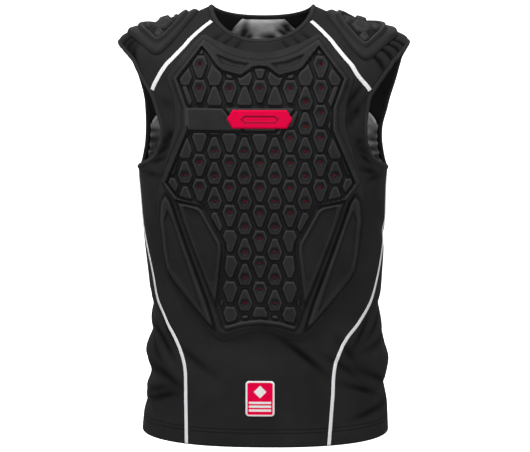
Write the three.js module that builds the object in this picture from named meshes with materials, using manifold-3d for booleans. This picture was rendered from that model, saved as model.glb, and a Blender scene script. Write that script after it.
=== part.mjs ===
// Protective sport vest in its worn form: a sleeveless stretch shirt of sewn panels that carries
// a moulded foam chest plate, rib plates and shoulder pads.
// Millimetres, +Z up. The front faces -Y and +X is the wearer's left.
// The origin is midway between the two points where the shoulders meet the neck.

import * as THREE from "three";
import { mergeVertices } from "three/addons/utils/BufferGeometryUtils.js";
import Module from "manifold-3d";

const wasm = await Module();
wasm.setup();

// Cloth
const CLOTH = 2;
const SEAM_GAP = 0.35;
const LINING = 1;
const LINING_FROM = 0.35;
const LINING_GAP = 0.8;
const TAPE_LIFT = 0.8;
const TAPE_THICK = 0.8;
const RAGLAN_TAPE_WIDTH = 6.4;
const INNER_TAPE_WIDTH = 4;
const INNER_TAPE_GAP = 1.1;
const SIDE_TAPE_WIDTH = 5.5;
const BINDING_WIDTH = 6.5;
const BINDING_GAP = 0.8;
const BINDING_OUT = 1;
const HEM_TURN = 22;
const HEM_THICK = 1.5;

// Armour
const BACKING_LIFT = 1.2;
const BACKING_THICK = 0.5;
const PLATE_LIFT = 3.2;
const FLANGE_THICK = 3;
const RIM_THICK = 9;
const FLOOR_THICK = 3.5;
const PAD_THICK = 8.5;
const BLOCK_THICK = 9;
const HOLE_RADIUS = 2.9;
const GROOVE = 3;
const RIB_LIFT = PLATE_LIFT + FLANGE_THICK + 0.7;
const RIB_THICK = 6;
const RIB_POCKET = 1.8;
const BADGE_LIFT = PLATE_LIFT + BLOCK_THICK + 0.6;
const BADGE_THICK = 2;
const LABEL_LIFT = 0.6;
const LABEL_THICK = 1;
const LABEL_WIDTH = 42;
const LABEL_HEIGHT = 52;
const LABEL_MIDDLE = -565;
const LABEL_CORNER = 5;
const BEND_TOLERANCE = 0.8;
const PLATE_TOLERANCE = 1.5;
const SHOULDER_TOLERANCE = 1.25;
const SPLIT_ROUNDS = 5;

// Body sections from the hem up. left and right are the half widths on the wearer's left and right.
// Sides, front and back may stand at different heights. square is the power of the rounded outline;
// ease rounds the top of the shoulder, where the height starts to drop.
const SECTIONS = [
  { v: 0.0, left: 192, right: 183, front: 117, back: 110, zFront: -637, zSide: -637, zBack: -637, square: 2.4, ease: 2 },
  { v: 0.16, left: 187, right: 174, front: 112, back: 104, zFront: -543, zSide: -543, zBack: -543, square: 2.4, ease: 2 },
  { v: 0.32, left: 179, right: 168, front: 108, back: 97, zFront: -446, zSide: -446, zBack: -446, square: 2.4, ease: 2 },
  { v: 0.48, left: 183, right: 177, front: 113, back: 101, zFront: -340, zSide: -340, zBack: -340, square: 2.4, ease: 2 },
  { v: 0.63, left: 186, right: 184, front: 118, back: 108, zFront: -240, zSide: -240, zBack: -240, square: 2.4, ease: 2 },
  { v: 0.76, left: 202, right: 197, front: 116, back: 112, zFront: -166, zSide: -146, zBack: -160, square: 2.3, ease: 2 },
  { v: 0.88, left: 214, right: 210, front: 105, back: 104, zFront: -106, zSide: -50, zBack: -88, square: 2.2, ease: 1.4 },
  { v: 0.94, left: 146, right: 146, front: 93, back: 86, zFront: -76, zSide: -27, zBack: -46, square: 2.15, ease: 0.55 },
  { v: 0.97, left: 111, right: 111, front: 85, back: 76, zFront: -65, zSide: -16.5, zBack: -33, square: 2.12, ease: 0.38 },
  { v: 1.0, left: 79, right: 79, front: 77, back: 66, zFront: -54, zSide: -3, zBack: -21, square: 2.1, ease: 0.25 },
];

// Creases of the worn cloth, low on the sides. turn is degrees from the front centre,
// tilt is the slope of the crease line, and a negative depth is a swelling.
const FOLD_RADIUS = 150;
const FOLDS = [
  { side: -1, turn: 78, z: -446, tilt: 8, length: 60, width: 13, depth: 4 },
  { side: -1, turn: 80, z: -488, tilt: 14, length: 70, width: 12, depth: 5 },
  { side: -1, turn: 80, z: -516, tilt: 10, length: 70, width: 14, depth: -5 },
  { side: -1, turn: 82, z: -548, tilt: -6, length: 70, width: 14, depth: 6 },
  { side: -1, turn: 80, z: -595, tilt: 6, length: 60, width: 10, depth: 4 },
  { side: 1, turn: 84, z: -336, tilt: -30, length: 50, width: 12, depth: 3 },
  { side: 1, turn: 80, z: -449, tilt: 10, length: 60, width: 16, depth: 5 },
  { side: 1, turn: 80, z: -522, tilt: -12, length: 70, width: 20, depth: -6 },
  { side: 1, turn: 82, z: -571, tilt: 12, length: 70, width: 14, depth: 5 },
];

// Seam lines as seen from the front or the back: distance from the centre plane on each side, and height.
const SIDE_SEAM_FRONT = [
  { left: 100, right: 108, z: -637 },
  { left: 105, right: 109, z: -568 },
  { left: 108.5, right: 111, z: -520 },
  { left: 124, right: 125, z: -483 },
  { left: 145, right: 141, z: -458 },
  { left: 162, right: 153, z: -428 },
  { left: 173, right: 161, z: -385 },
  { left: 179, right: 170, z: -346 },
  { left: 182, right: 176, z: -310 },
  { left: 184, right: 182, z: -240 },
];
const SIDE_SEAM_BACK = [
  { left: 122, right: 122, z: -637 },
  { left: 122, right: 122, z: -568 },
  { left: 127, right: 126, z: -520 },
  { left: 140, right: 138, z: -470 },
  { left: 158, right: 153, z: -420 },
  { left: 171, right: 165, z: -370 },
  { left: 180, right: 175, z: -310 },
  { left: 184, right: 182, z: -240 },
];
const ARMHOLE_FRONT = [
  { left: 184, right: 182, z: -240 },
  { left: 164, right: 159, z: -225 },
  { left: 151, right: 144, z: -203 },
  { left: 147, right: 138, z: -177 },
  { left: 149, right: 145, z: -150 },
  { left: 156, right: 155, z: -123 },
  { left: 179, right: 175, z: -91 },
  { left: 197, right: 190, z: -69 },
];
const ARMHOLE_TOP = 0.88;
const ARMHOLE_BACK = [
  { left: 208, right: 199, z: -68 },
  { left: 202, right: 191, z: -87 },
  { left: 194, right: 182, z: -118 },
  { left: 185, right: 176, z: -150 },
  { left: 177, right: 175, z: -183 },
  { left: 178, right: 177, z: -215 },
  { left: 184, right: 182, z: -240 },
];
const RAGLAN_FRONT_AT = 5;
const RAGLAN_BACK_AT = 13;
const RAGLAN_FRONT = [
  { left: 138, right: 144, z: -100 },
  { left: 123, right: 128, z: -79 },
  { left: 106, right: 109, z: -59 },
  { left: 87, right: 89, z: -38 },
];
const RAGLAN_FRONT_NECK = 0.5;
const RAGLAN_BACK = [
  { left: 140, right: 140, z: -141 },
  { left: 100, right: 100, z: -92 },
  { left: 62, right: 62, z: -48 },
];
const RAGLAN_BACK_NECK = 1.16;

// Half outlines of the chest plate seen from the front, from the top centre down to the bottom centre.
const PLATE_OUTLINE = [
  [0, -68], [27, -64], [53, -56], [70, -48], [80, -43], [89, -47],
  [104, -63], [118, -80], [130, -98], [132, -106], [124, -132], [121, -150],
  [121, -172], [129, -200], [144, -251], [148, -277], [149, -308], [145, -356],
  [140, -384], [130, -400], [104, -430], [80, -460], [68, -473], [54, -480],
  [34, -475], [16, -468], [0, -466],
];
const FIELD_OUTLINE = [
  [0, -86], [10, -87], [27, -99], [53, -92], [60, -87], [82.5, -58],
  [117.5, -104], [103, -144], [102.5, -176], [135.5, -252], [119, -273], [84, -280],
  [51, -337], [50, -348], [60, -427], [50, -457], [27, -450], [0, -446.5],
];
const RIM_TOP = [
  [0, -79], [27, -76], [53, -67], [70, -57], [82.5, -51],
];
const COLLAR_POCKET = [
  [15, -82], [24, -89], [53, -83], [64, -68], [55, -72], [38, -79],
];
const BAND_OUTLINE = [
  [-104, -144], [-52, -144], [-22, -176], [-103, -176],
];
const BADGE_ZONE = [
  [-52, -143], [52, -143], [22, -177], [-22, -177],
];
const BADGE_OUTLINE = [
  [-46, -159.5], [-38, -146.5], [38, -146.5], [46, -159.5], [38, -172.5], [-38, -172.5],
];
const BADGE_SLOT = [
  [-26, -159.5], [-21, -155], [21, -155], [26, -159.5], [21, -164], [-21, -164],
];
const INNER_RIB = [
  [119, -279], [88, -284], [81, -289], [55, -336], [54, -347], [63, -424],
  [62, -432], [54, -458], [66, -423], [93, -353], [108, -313],
];
const INNER_POCKET = [
  [110, -284], [92, -288], [86, -292], [62, -336], [60, -346], [66, -391],
  [70, -397], [87, -357], [101, -317],
];
const OUTER_RIB = [
  [136, -270], [143, -281], [145, -308], [140.5, -355], [136, -379], [127, -394],
  [102, -424], [76, -454], [66, -463], [79, -421], [102, -358], [118, -313], [129, -280],
];
const OUTER_POCKET = [
  [134, -290], [139, -308], [133, -366], [127, -383], [99, -417], [82, -440],
  [111, -352], [125, -309],
];

// Pads lie in columns side by side. Rows stand closer together higher up, where the chest leans back.
const COLUMN_PITCH = 21.3;
const LAST_COLUMN = 6;
const LAST_ROW = 10;
const ROW_FIRST = -402.8;
const ROW_PITCH = 37.6;
const ROW_CLOSING = 0.229;
const ODD_ROW_SHIFT = -0.55;
const PAD = { blunt: 6.4, wide: 10.2, tip: 2.8, up: 11, down: 20 };
const SMALLEST_PAD = 60;

// Rows of pads with holes in each column, on both sides or on one side alone.
const HOLES = [
  { columns: [0], from: 0, to: 5 },
  { columns: [0, -2, 2, -4, 4], from: 8, to: 8 },
  { columns: [-1, 1], from: 0, to: 6 },
  { columns: [-2, 2], from: 3, to: 5 },
  { columns: [-3, 3], from: 4, to: 6 },
  { columns: [-4, 4], from: 4, to: 5 },
  { columns: [-4, 4], from: 9, to: 9 },
  { columns: [-5, 5], from: 5, to: 5 },
  { columns: [2], from: 6, to: 6 },
  { columns: [3], from: 7, to: 8 },
  { columns: [4], from: 6, to: 7 },
];

// Red sheet behind the pads: half its width at each height.
const BACKING = [
  { half: 90, z: -72 },
  { half: 100, z: -86 },
  { half: 108, z: -104 },
  { half: 102, z: -125 },
  { half: 96, z: -150 },
  { half: 96, z: -180 },
  { half: 110, z: -212 },
  { half: 114, z: -245 },
  { half: 98, z: -272 },
  { half: 66, z: -305 },
  { half: 44, z: -345 },
  { half: 44, z: -440 },
];

// Shoulder pad drawn flat: across the shoulder from the neck out, and along it from the ridge forward.
const SHOULDER_PAD_LIFT = 2.2;
const SHOULDER_BASE = 4.5;
const SHOULDER_RIDGE = 8;
const SHOULDER_FIELD = 4;
const SHOULDER_STUD = 8.5;
const SHOULDER_FORWARD = { left: 17, right: 8 };
const SHOULDER_OUTLINE = [
  [97, -18], [94, 2], [107, 28], [127, 62], [141, 78], [152, 78], [166, 62], [188, 28],
  [197, 8], [195, -18], [176, -46], [153, -64], [134, -64], [113, -46],
];
const SHOULDER_RIDGE_LINE = [
  [107, -12], [106, 2], [118, 27], [136, 52], [145, 60], [150, 60], [158, 50], [174, 25],
  [181, 6], [179, -14], [166, -37], [150, -51], [137, -51], [121, -34],
];
const SHOULDER_FIELD_LINE = [
  [114, -10], [114, 2], [126, 27], [142, 47], [149, 47], [165, 21], [171, 5],
  [169, -12], [157, -31], [147, -41], [138, -41], [126, -28],
];
const SHOULDER_STUDS = [
  { x: 142, y: 8, across: 10.5, along: 9.5 },
  { x: 144, y: 29, across: 6, along: 6 },
  { x: 126, y: 4, across: 5.5, along: 6 },
  { x: 158, y: 4, across: 5.5, along: 6 },
  { x: 142, y: -14, across: 8, along: 7 },
];

// One column of the section table at v, by a smooth curve through its rows.
function sectionValue(key, v) {
  const last = SECTIONS.length - 1;
  let k = SECTIONS.findIndex((row) => row.v > v) - 1;
  if (k < 0) {
    k = v < SECTIONS[0].v ? 0 : last - 1;
  }
  const slope = (i) => {
    const low = SECTIONS[Math.max(i - 1, 0)];
    const high = SECTIONS[Math.min(i + 1, last)];
    return (high[key] - low[key]) / (high.v - low.v);
  };
  const span = SECTIONS[k + 1].v - SECTIONS[k].v;
  const t = (v - SECTIONS[k].v) / span;
  const rise = 3 * t * t - 2 * t * t * t;
  return SECTIONS[k][key] * (1 - rise) + SECTIONS[k + 1][key] * rise
    + slope(k) * span * t * (1 - t) * (1 - t) - slope(k + 1) * span * t * t * (1 - t);
}

function sectionAt(v) {
  const section = {};
  for (const key of Object.keys(SECTIONS[0])) {
    section[key] = sectionValue(key, v);
  }
  return section;
}

// How far the cloth is creased inward at an angle round the body and a height.
function creaseDepth(u, z) {
  const turn = Math.abs(THREE.MathUtils.euclideanModulo(u + 1.5 * Math.PI, 2 * Math.PI) - Math.PI);
  const side = Math.cos(u) >= 0 ? 1 : -1;
  let depth = 0;
  for (const fold of FOLDS) {
    if (fold.side !== side) {
      continue;
    }
    const across = (turn - THREE.MathUtils.degToRad(fold.turn)) * FOLD_RADIUS;
    const up = z - fold.z;
    const slant = THREE.MathUtils.degToRad(fold.tilt);
    const along = across * Math.cos(slant) + up * Math.sin(slant);
    const off = up * Math.cos(slant) - across * Math.sin(slant);
    depth += fold.depth * Math.exp(-((along / fold.length) ** 2) - (off / fold.width) ** 2);
  }
  return depth;
}

// A point of the smooth body: u turns from the wearer's left (0) to the back, v climbs from hem to neck.
function bodyPoint(u, v) {
  const s = sectionAt(v);
  const power = 2 / s.square;
  const c = Math.abs(Math.cos(u)) ** power;
  const d = Math.abs(Math.sin(u)) ** power;
  const front = Math.sin(u) < 0;
  const drop = (front ? s.zFront : s.zBack) - s.zSide;
  return new THREE.Vector3(
    Math.cos(u) < 0 ? -s.right * c : s.left * c,
    front ? -s.front * d : s.back * d,
    s.zSide + (drop * (Math.hypot(d, s.ease) - s.ease)) / (Math.hypot(1, s.ease) - s.ease),
  );
}

function bodyNormal(u, v) {
  const step = 1e-3;
  const low = Math.max(v - step, 0);
  const high = Math.min(v + step, 1);
  const round = bodyPoint(u + step, v).sub(bodyPoint(u - step, v));
  const rise = bodyPoint(u, high).sub(bodyPoint(u, low));
  return round.cross(rise).normalize();
}

// A point at a height over the worn cloth.
function clothPoint(u, v, height) {
  const point = bodyPoint(u, v);
  return point.addScaledVector(bodyNormal(u, v), height - creaseDepth(u, point.z));
}

// The place on the body that lies behind a point of the front view, or of the back view.
function placeAt(x, z, back) {
  let low = 0;
  let high = 1;
  let u = 0;
  for (let i = 0; i < 40; i += 1) {
    const v = (low + high) / 2;
    const s = sectionAt(v);
    const share = Math.min(Math.abs(x) / (x < 0 ? s.right : s.left), 1);
    u = Math.acos(share ** (s.square / 2));
    const point = bodyPoint(back ? u : -u, v);
    const above = share === 1 ? v > 0.8 : point.z > z;
    if (above) {
      high = v;
    } else {
      low = v;
    }
  }
  const turn = back ? u : -u;
  return { u: x < 0 ? Math.PI - turn : turn, v: (low + high) / 2 };
}

// A smooth line through places on the body.
function curveThrough(places, closed = false) {
  return new THREE.CatmullRomCurve3(
    places.map((p) => new THREE.Vector3(p.u, p.v, 0)), closed, "catmullrom", 0.5,
  );
}

// Places along a line at given shares of its length.
function placesAlong(places, shares) {
  const curve = curveThrough(places);
  return shares.map((share) => {
    const p = curve.getPointAt(share);
    return { u: p.x, v: p.y };
  });
}

// Places along a climbing line at given values of v.
function placesClimbing(places, heights) {
  const curve = curveThrough(places);
  return heights.map((v) => {
    let low = 0;
    let high = 1;
    for (let i = 0; i < 30; i += 1) {
      const middle = (low + high) / 2;
      if (curve.getPoint(middle).y < v) {
        low = middle;
      } else {
        high = middle;
      }
    }
    const p = curve.getPoint(low);
    return { u: p.x, v: p.y };
  });
}

// Equal steps from one number to another, both included.
function steps(count, from = 0, to = 1) {
  return Array.from({ length: count + 1 }, (_, i) => from + ((to - from) * i) / count);
}

function mesh(points, triangles) {
  const geometry = new THREE.BufferGeometry();
  geometry.setAttribute("position", new THREE.Float32BufferAttribute(points.flatMap((p) => [p.x, p.y, p.z]), 3));
  geometry.setIndex(triangles.flat());
  return outward(geometry);
}

// The same faces turned to point out of the solid.
function outward(geometry) {
  const at = geometry.getAttribute("position");
  const index = geometry.getIndex();
  const corner = (i) => new THREE.Vector3().fromBufferAttribute(at, index.getX(i));
  let volume = 0;
  for (let i = 0; i < index.count; i += 3) {
    volume += corner(i).dot(corner(i + 1).cross(corner(i + 2)));
  }
  if (volume < 0) {
    for (let i = 0; i < index.count; i += 3) {
      const swap = index.getX(i);
      index.setX(i, index.getX(i + 1));
      index.setX(i + 1, swap);
    }
  }
  return geometry;
}

// A wall between two grids of points, closed round its edge.
function wallBetween(outer, inner) {
  const rows = outer.length;
  const columns = outer[0].length;
  const points = [...outer.flat(), ...inner.flat()];
  const half = rows * columns;
  const at = (i, j) => i * columns + j;
  const triangles = [];
  const quad = (a, b, c, d) => triangles.push([a, b, c], [a, c, d]);
  for (let i = 0; i + 1 < rows; i += 1) {
    for (let j = 0; j + 1 < columns; j += 1) {
      quad(at(i, j), at(i, j + 1), at(i + 1, j + 1), at(i + 1, j));
      quad(half + at(i, j), half + at(i + 1, j), half + at(i + 1, j + 1), half + at(i, j + 1));
    }
  }
  for (let j = 0; j + 1 < columns; j += 1) {
    quad(at(0, j + 1), at(0, j), half + at(0, j), half + at(0, j + 1));
    quad(at(rows - 1, j), at(rows - 1, j + 1), half + at(rows - 1, j + 1), half + at(rows - 1, j));
  }
  for (let i = 0; i + 1 < rows; i += 1) {
    quad(at(i, 0), at(i + 1, 0), half + at(i + 1, 0), half + at(i, 0));
    quad(at(i + 1, columns - 1), at(i, columns - 1), half + at(i, columns - 1), half + at(i + 1, columns - 1));
  }
  return mesh(points, triangles);
}

// A panel of cloth over a grid of places on the body, between two heights.
function clothWall(grid, inner, outer) {
  const raised = (height) => grid.map((row) => row.map((p) => clothPoint(p.u, p.v, height)));
  return wallBetween(raised(outer), raised(inner));
}

// A ring swept round a closed line, with one closed outline of points at each step.
function ring(outlines) {
  const sides = outlines[0].length;
  const triangles = [];
  outlines.forEach((outline, i) => {
    const next = (i + 1) % outlines.length;
    for (let k = 0; k < sides; k += 1) {
      const after = (k + 1) % sides;
      const a = i * sides + k;
      const b = i * sides + after;
      const c = next * sides + after;
      const d = next * sides + k;
      triangles.push([a, b, c], [a, c, d]);
    }
  });
  return mesh(outlines.flat(), triangles);
}

// The cloth's normal and the direction across a line of places, at each step of the line.
function framesAlong(line, closed) {
  const points = line.map((p) => clothPoint(p.u, p.v, 0));
  return line.map((p, i) => {
    const before = closed ? (i + line.length - 1) % line.length : Math.max(i - 1, 0);
    const after = closed ? (i + 1) % line.length : Math.min(i + 1, line.length - 1);
    const along = points[after].clone().sub(points[before]).normalize();
    const normal = bodyNormal(p.u, p.v);
    const across = normal.clone().cross(along).normalize();
    return { point: points[i], normal, across };
  });
}

// A flat tape laid over a seam line.
function tape(line, width, lift) {
  const frames = framesAlong(line, false);
  const laid = (height) => frames.map((f) => [-0.5, 0.5].map(
    (side) => f.point.clone().addScaledVector(f.across, side * width).addScaledVector(f.normal, height),
  ));
  return wallBetween(laid(lift + TAPE_THICK), laid(lift));
}

// A folded binding beyond an open edge. beyond is the side of the line on which the opening lies.
function binding(line, beyond) {
  const inside = -CLOTH - BINDING_OUT;
  const profile = [
    { out: BINDING_OUT, past: BINDING_GAP },
    { out: BINDING_OUT, past: BINDING_WIDTH - 1.4 },
    { out: -CLOTH / 2, past: BINDING_WIDTH },
    { out: inside, past: BINDING_WIDTH - 1.4 },
    { out: inside, past: BINDING_GAP },
  ];
  return ring(framesAlong(line, true).map((f) => profile.map((p) => f.point.clone()
    .addScaledVector(f.normal, p.out).addScaledVector(f.across, beyond * p.past))));
}

function mirrored(half) {
  const other = half.filter(([x]) => x !== 0).map(([x, z]) => [-x, z]).reverse();
  return [...half, ...other];
}

function shapeOf(outline) {
  return new THREE.Shape(outline.map(([x, y]) => new THREE.Vector2(x, y)));
}

function solidOf(geometry) {
  geometry.deleteAttribute("normal");
  geometry.deleteAttribute("uv");
  const merged = mergeVertices(geometry, 1e-4);
  return new wasm.Manifold(new wasm.Mesh({
    numProp: 3,
    vertProperties: new Float32Array(merged.getAttribute("position").array),
    triVerts: new Uint32Array(merged.getIndex().array),
  }));
}

// A flat piece with a given outline between two heights.
function slab(outline, low, high) {
  const geometry = new THREE.ExtrudeGeometry(shapeOf(outline), { depth: high - low, bevelEnabled: false });
  geometry.translate(0, 0, low);
  return solidOf(geometry);
}

// The outline moved sideways by a distance, outward where it is positive.
function offsetOutline(outline, distance) {
  const turn = Math.sign(THREE.ShapeUtils.area(outline.map(([x, y]) => new THREE.Vector2(x, y))));
  const count = outline.length;
  const edgeNormal = (a, b) => new THREE.Vector2(b[1] - a[1], a[0] - b[0]).normalize().multiplyScalar(turn);
  return outline.map((p, i) => {
    const n1 = edgeNormal(outline[(i + count - 1) % count], p);
    const n2 = edgeNormal(p, outline[(i + 1) % count]);
    const corner = n1.clone().add(n2);
    const reach = Math.min(2 / Math.max(corner.lengthSq(), 0.01), 1.6);
    return [p[0] + corner.x * reach * distance, p[1] + corner.y * reach * distance];
  });
}

// Splits every edge whose middle would leave its chord when the flat faces are bent.
function splitWhereBent(flat, bent, faces, place, tolerance) {
  const middles = new Map();
  const middleOf = (a, b) => {
    const key = `${Math.min(a, b)} ${Math.max(a, b)}`;
    if (!middles.has(key)) {
      const middle = flat[a].clone().add(flat[b]).multiplyScalar(0.5);
      const chord = bent[a].clone().add(bent[b]).multiplyScalar(0.5);
      const laid = place(middle.x, middle.y, middle.z);
      const split = laid.distanceTo(chord) > tolerance;
      if (split) {
        flat.push(middle);
        bent.push(laid);
      }
      middles.set(key, split ? [flat.length - 1] : []);
    }
    return middles.get(key);
  };
  return faces.flatMap(([a, b, c]) => {
    const round = [a, ...middleOf(a, b), b, ...middleOf(b, c), c, ...middleOf(c, a)];
    const first = Math.max(round.findIndex((i) => i !== a && i !== b && i !== c), 0);
    const turned = [...round.slice(first), ...round.slice(0, first)];
    return turned.slice(2).map((_, k) => [turned[0], turned[k + 1], turned[k + 2]]);
  });
}

// A flat solid bent onto the body, with small enough faces.
function bentOnto(solid, place, tolerance = BEND_TOLERANCE) {
  const { vertProperties, triVerts } = solid.getMesh();
  const flat = [];
  for (let i = 0; i < vertProperties.length; i += 3) {
    flat.push(new THREE.Vector3().fromArray(vertProperties, i));
  }
  const bent = flat.map((p) => place(p.x, p.y, p.z));
  let faces = [];
  for (let i = 0; i < triVerts.length; i += 3) {
    faces.push(Array.from(triVerts.slice(i, i + 3)));
  }
  for (let round = 0; round < SPLIT_ROUNDS; round += 1) {
    faces = splitWhereBent(flat, bent, faces, place, tolerance);
  }
  return mesh(bent, faces);
}

// A point of the front view lifted off the cloth. Its place is moved back by what the lift adds sideways,
// so the lifted point still lies in front of its place in the view.
function onFront(x, z, height) {
  const seen = placeAt(x, z, false);
  const lift = bodyNormal(seen.u, seen.v).multiplyScalar(height);
  const p = placeAt(x - lift.x, z - lift.z, false);
  return clothPoint(p.u, p.v, height);
}

// A point of the shoulder pad's flat drawing laid over the shoulder.
function onShoulder(side) {
  return (x, y, height) => {
    const half = side.name;
    let low = 0.88;
    let high = 1;
    for (let i = 0; i < 40; i += 1) {
      const v = (low + high) / 2;
      if (sectionValue(half, v) > x) {
        low = v;
      } else {
        high = v;
      }
    }
    const ridge = (low + high) / 2;
    const steps = 80;
    const turn = y > 0 ? -1 : 1;
    let length = 0;
    let before = { u: 0, v: ridge };
    let from = bodyPoint(0, ridge);
    for (let i = 1; i <= steps && length < Math.abs(y); i += 1) {
      const v = ridge - (ridge - 0.7) * (i / steps) ** 2;
      const s = sectionAt(v);
      const u = turn * Math.acos(Math.min(x / s[half], 1) ** (s.square / 2));
      const point = bodyPoint(u, v);
      const part = point.distanceTo(from);
      const share = Math.min((Math.abs(y) - length) / part, 1);
      before = { u: before.u + (u - before.u) * share, v: before.v + (v - before.v) * share };
      from = point;
      length += part;
    }
    return clothPoint(side.turned(before.u), before.v, height);
  };
}

// Both sides of the body. turned takes an angle on the wearer's left to the same angle on that side.
const SIDES = [
  { name: "left", sign: 1, turned: (u) => u },
  { name: "right", sign: -1, turned: (u) => Math.PI - u },
];
const hemTop = (HEM_TURN / (SECTIONS[1].zFront - SECTIONS[0].zFront)) * SECTIONS[1].v;
const SEAM_HEIGHTS = [0, ...steps(9, hemTop, 0.36), ...steps(5, 0.36, 0.63).slice(1)];
const RAGLAN_SHARES = steps(5);

// Seams and edges of one side as places on the body.
function edgesOf(side) {
  const places = (rows, back) => rows.map((row) => placeAt(side.sign * row[side.name], row.z, back));
  const armholePlaces = [
    ...places(ARMHOLE_FRONT, false), { u: side.turned(0), v: ARMHOLE_TOP }, ...places(ARMHOLE_BACK, true),
  ];
  const armholeCurve = curveThrough(armholePlaces, true);
  const armholePart = (first, last, perSpan) => steps((last - first) * perSpan, first, last).map((at) => {
    const p = armholeCurve.getPoint(at / armholePlaces.length);
    return { u: p.x, v: p.y };
  });
  const armholeFront = armholePart(0, RAGLAN_FRONT_AT, 1);
  const armholeTop = armholePart(RAGLAN_FRONT_AT, RAGLAN_BACK_AT, 2);
  const armholeBack = armholePart(RAGLAN_BACK_AT, armholePlaces.length - 1, 1);
  const seamFront = placesClimbing(places(SIDE_SEAM_FRONT, false), SEAM_HEIGHTS);
  const seamBack = placesClimbing(places(SIDE_SEAM_BACK, true), SEAM_HEIGHTS);
  const raglanFrontPlaces = [
    armholePlaces[RAGLAN_FRONT_AT], ...places(RAGLAN_FRONT, false), { u: side.turned(-RAGLAN_FRONT_NECK), v: 1 },
  ];
  const raglanBackPlaces = [
    armholePlaces[RAGLAN_BACK_AT], ...places(RAGLAN_BACK, true), { u: side.turned(RAGLAN_BACK_NECK), v: 1 },
  ];
  const raglanFront = placesAlong(raglanFrontPlaces, RAGLAN_SHARES);
  const raglanBack = placesAlong(raglanBackPlaces, RAGLAN_SHARES);
  return {
    side,
    armhole: [...armholeFront, ...armholeTop.slice(1), ...armholeBack.slice(1)],
    armholeTop,
    seamFront,
    seamBack,
    raglanFrontPlaces,
    raglanBackPlaces,
    raglanFront,
    raglanBack,
    frontEdge: [...seamFront, ...armholeFront.slice(1), ...raglanFront.slice(1)],
    backEdge: [...seamBack, ...armholeBack.slice(0, -1).reverse(), ...raglanBack.slice(1)],
  };
}
const [leftEdges, rightEdges] = SIDES.map(edgesOf);

// A panel across the middle of the body, from its edge on the wearer's right to its edge on the left.
function middlePanel(rightEdge, leftEdge, middle, columns) {
  const inset = SEAM_GAP / 2 / FOLD_RADIUS;
  return rightEdge.map((right, i) => {
    const left = leftEdge[i];
    const reach = (p) => Math.abs(middle - p.u) - inset;
    const away = Math.sign(left.u - middle);
    return steps(columns, -1, 1).map((s) => ({
      u: middle + away * s * reach(s < 0 ? right : left),
      v: THREE.MathUtils.lerp(right.v, left.v, (s + 1) / 2),
    }));
  });
}

// A panel whose rows run from one edge line to another.
function panelBetween(first, second, columns) {
  return first.map((p, i) => {
    const q = second[i];
    const inset = SEAM_GAP / 2 / FOLD_RADIUS / Math.max(Math.hypot(q.u - p.u, q.v - p.v), 0.02);
    return Array.from({ length: columns + 1 }, (_, j) => {
      const t = THREE.MathUtils.lerp(inset, 1 - inset, j / columns);
      return { u: THREE.MathUtils.lerp(p.u, q.u, t), v: THREE.MathUtils.lerp(p.v, q.v, t) };
    });
  });
}

// The shoulder panel lies between both raglan seams, the armhole and the neck.
function shoulderPanel({ side, raglanFront, raglanBack, armholeTop }) {
  const count = armholeTop.length - 1;
  const inset = 0.006;
  const blend = (a, b, t) => ({ u: a.u + (b.u - a.u) * t, v: a.v + (b.v - a.v) * t });
  const neckFront = { u: side.turned(-RAGLAN_FRONT_NECK), v: 1 };
  const neckBack = { u: side.turned(RAGLAN_BACK_NECK), v: 1 };
  return raglanFront.map((_, i) => armholeTop.map((_unused, j) => {
    const up = THREE.MathUtils.lerp(inset, 1, RAGLAN_SHARES[i]);
    const over = THREE.MathUtils.lerp(inset, 1 - inset, j / count);
    const neck = blend(neckFront, neckBack, over);
    const sides = blend(raglanFront[i], raglanBack[i], over);
    const ends = blend(armholeTop[j], neck, up);
    const corners = blend(blend(armholeTop[0], armholeTop[count], over), neck, up);
    return { u: sides.u + ends.u - corners.u, v: sides.v + ends.v - corners.v };
  }));
}

// Colours
const material = (color, roughness) => new THREE.MeshStandardMaterial({ color, roughness, metalness: 0 });
const knit = material(0x1f1f21, 0.85);
const foam = material(0x2b2b2d, 0.7);
const tapeCloth = material(0xd9d9dc, 0.6);
const meshCloth = material(0x8d8d90, 0.9);
const redCloth = material(0xd0103f, 0.7);
const redRubber = material(0xe0124a, 0.45);

const vest = new THREE.Group();
const add = (name, geometry, look) => {
  const piece = new THREE.Mesh(geometry, look);
  piece.name = name;
  vest.add(piece);
};
const EDGES = [leftEdges, rightEdges];

// Shirt panels
const ROUND = 2 * Math.PI;
const frontRight = rightEdges.frontEdge.map(({ u, v }) => ({ u: u - ROUND, v }));
const frontGrid = middlePanel(frontRight, leftEdges.frontEdge, -Math.PI / 2, 8);
const backGrid = middlePanel(rightEdges.backEdge, leftEdges.backEdge, Math.PI / 2, 8);
const sideGrids = EDGES.map(({ seamFront, seamBack }) => panelBetween(seamFront, seamBack, 6));
add("front_panel", clothWall(frontGrid, -CLOTH, 0), knit);
add("back_panel", clothWall(backGrid, -CLOTH, 0), knit);
const liningOuter = -CLOTH - LINING_GAP;
const liningInner = liningOuter - LINING;
const liningGrid = backGrid.filter((row) => row[0].v > LINING_FROM);
add("back_lining", clothWall(liningGrid, liningInner, liningOuter), meshCloth);
EDGES.forEach((edges, i) => {
  add(`side_panel_${edges.side.name}`, clothWall(sideGrids[i], -CLOTH, 0), knit);
  add(`shoulder_panel_${edges.side.name}`, clothWall(shoulderPanel(edges), -CLOTH, 0), knit);
});

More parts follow.
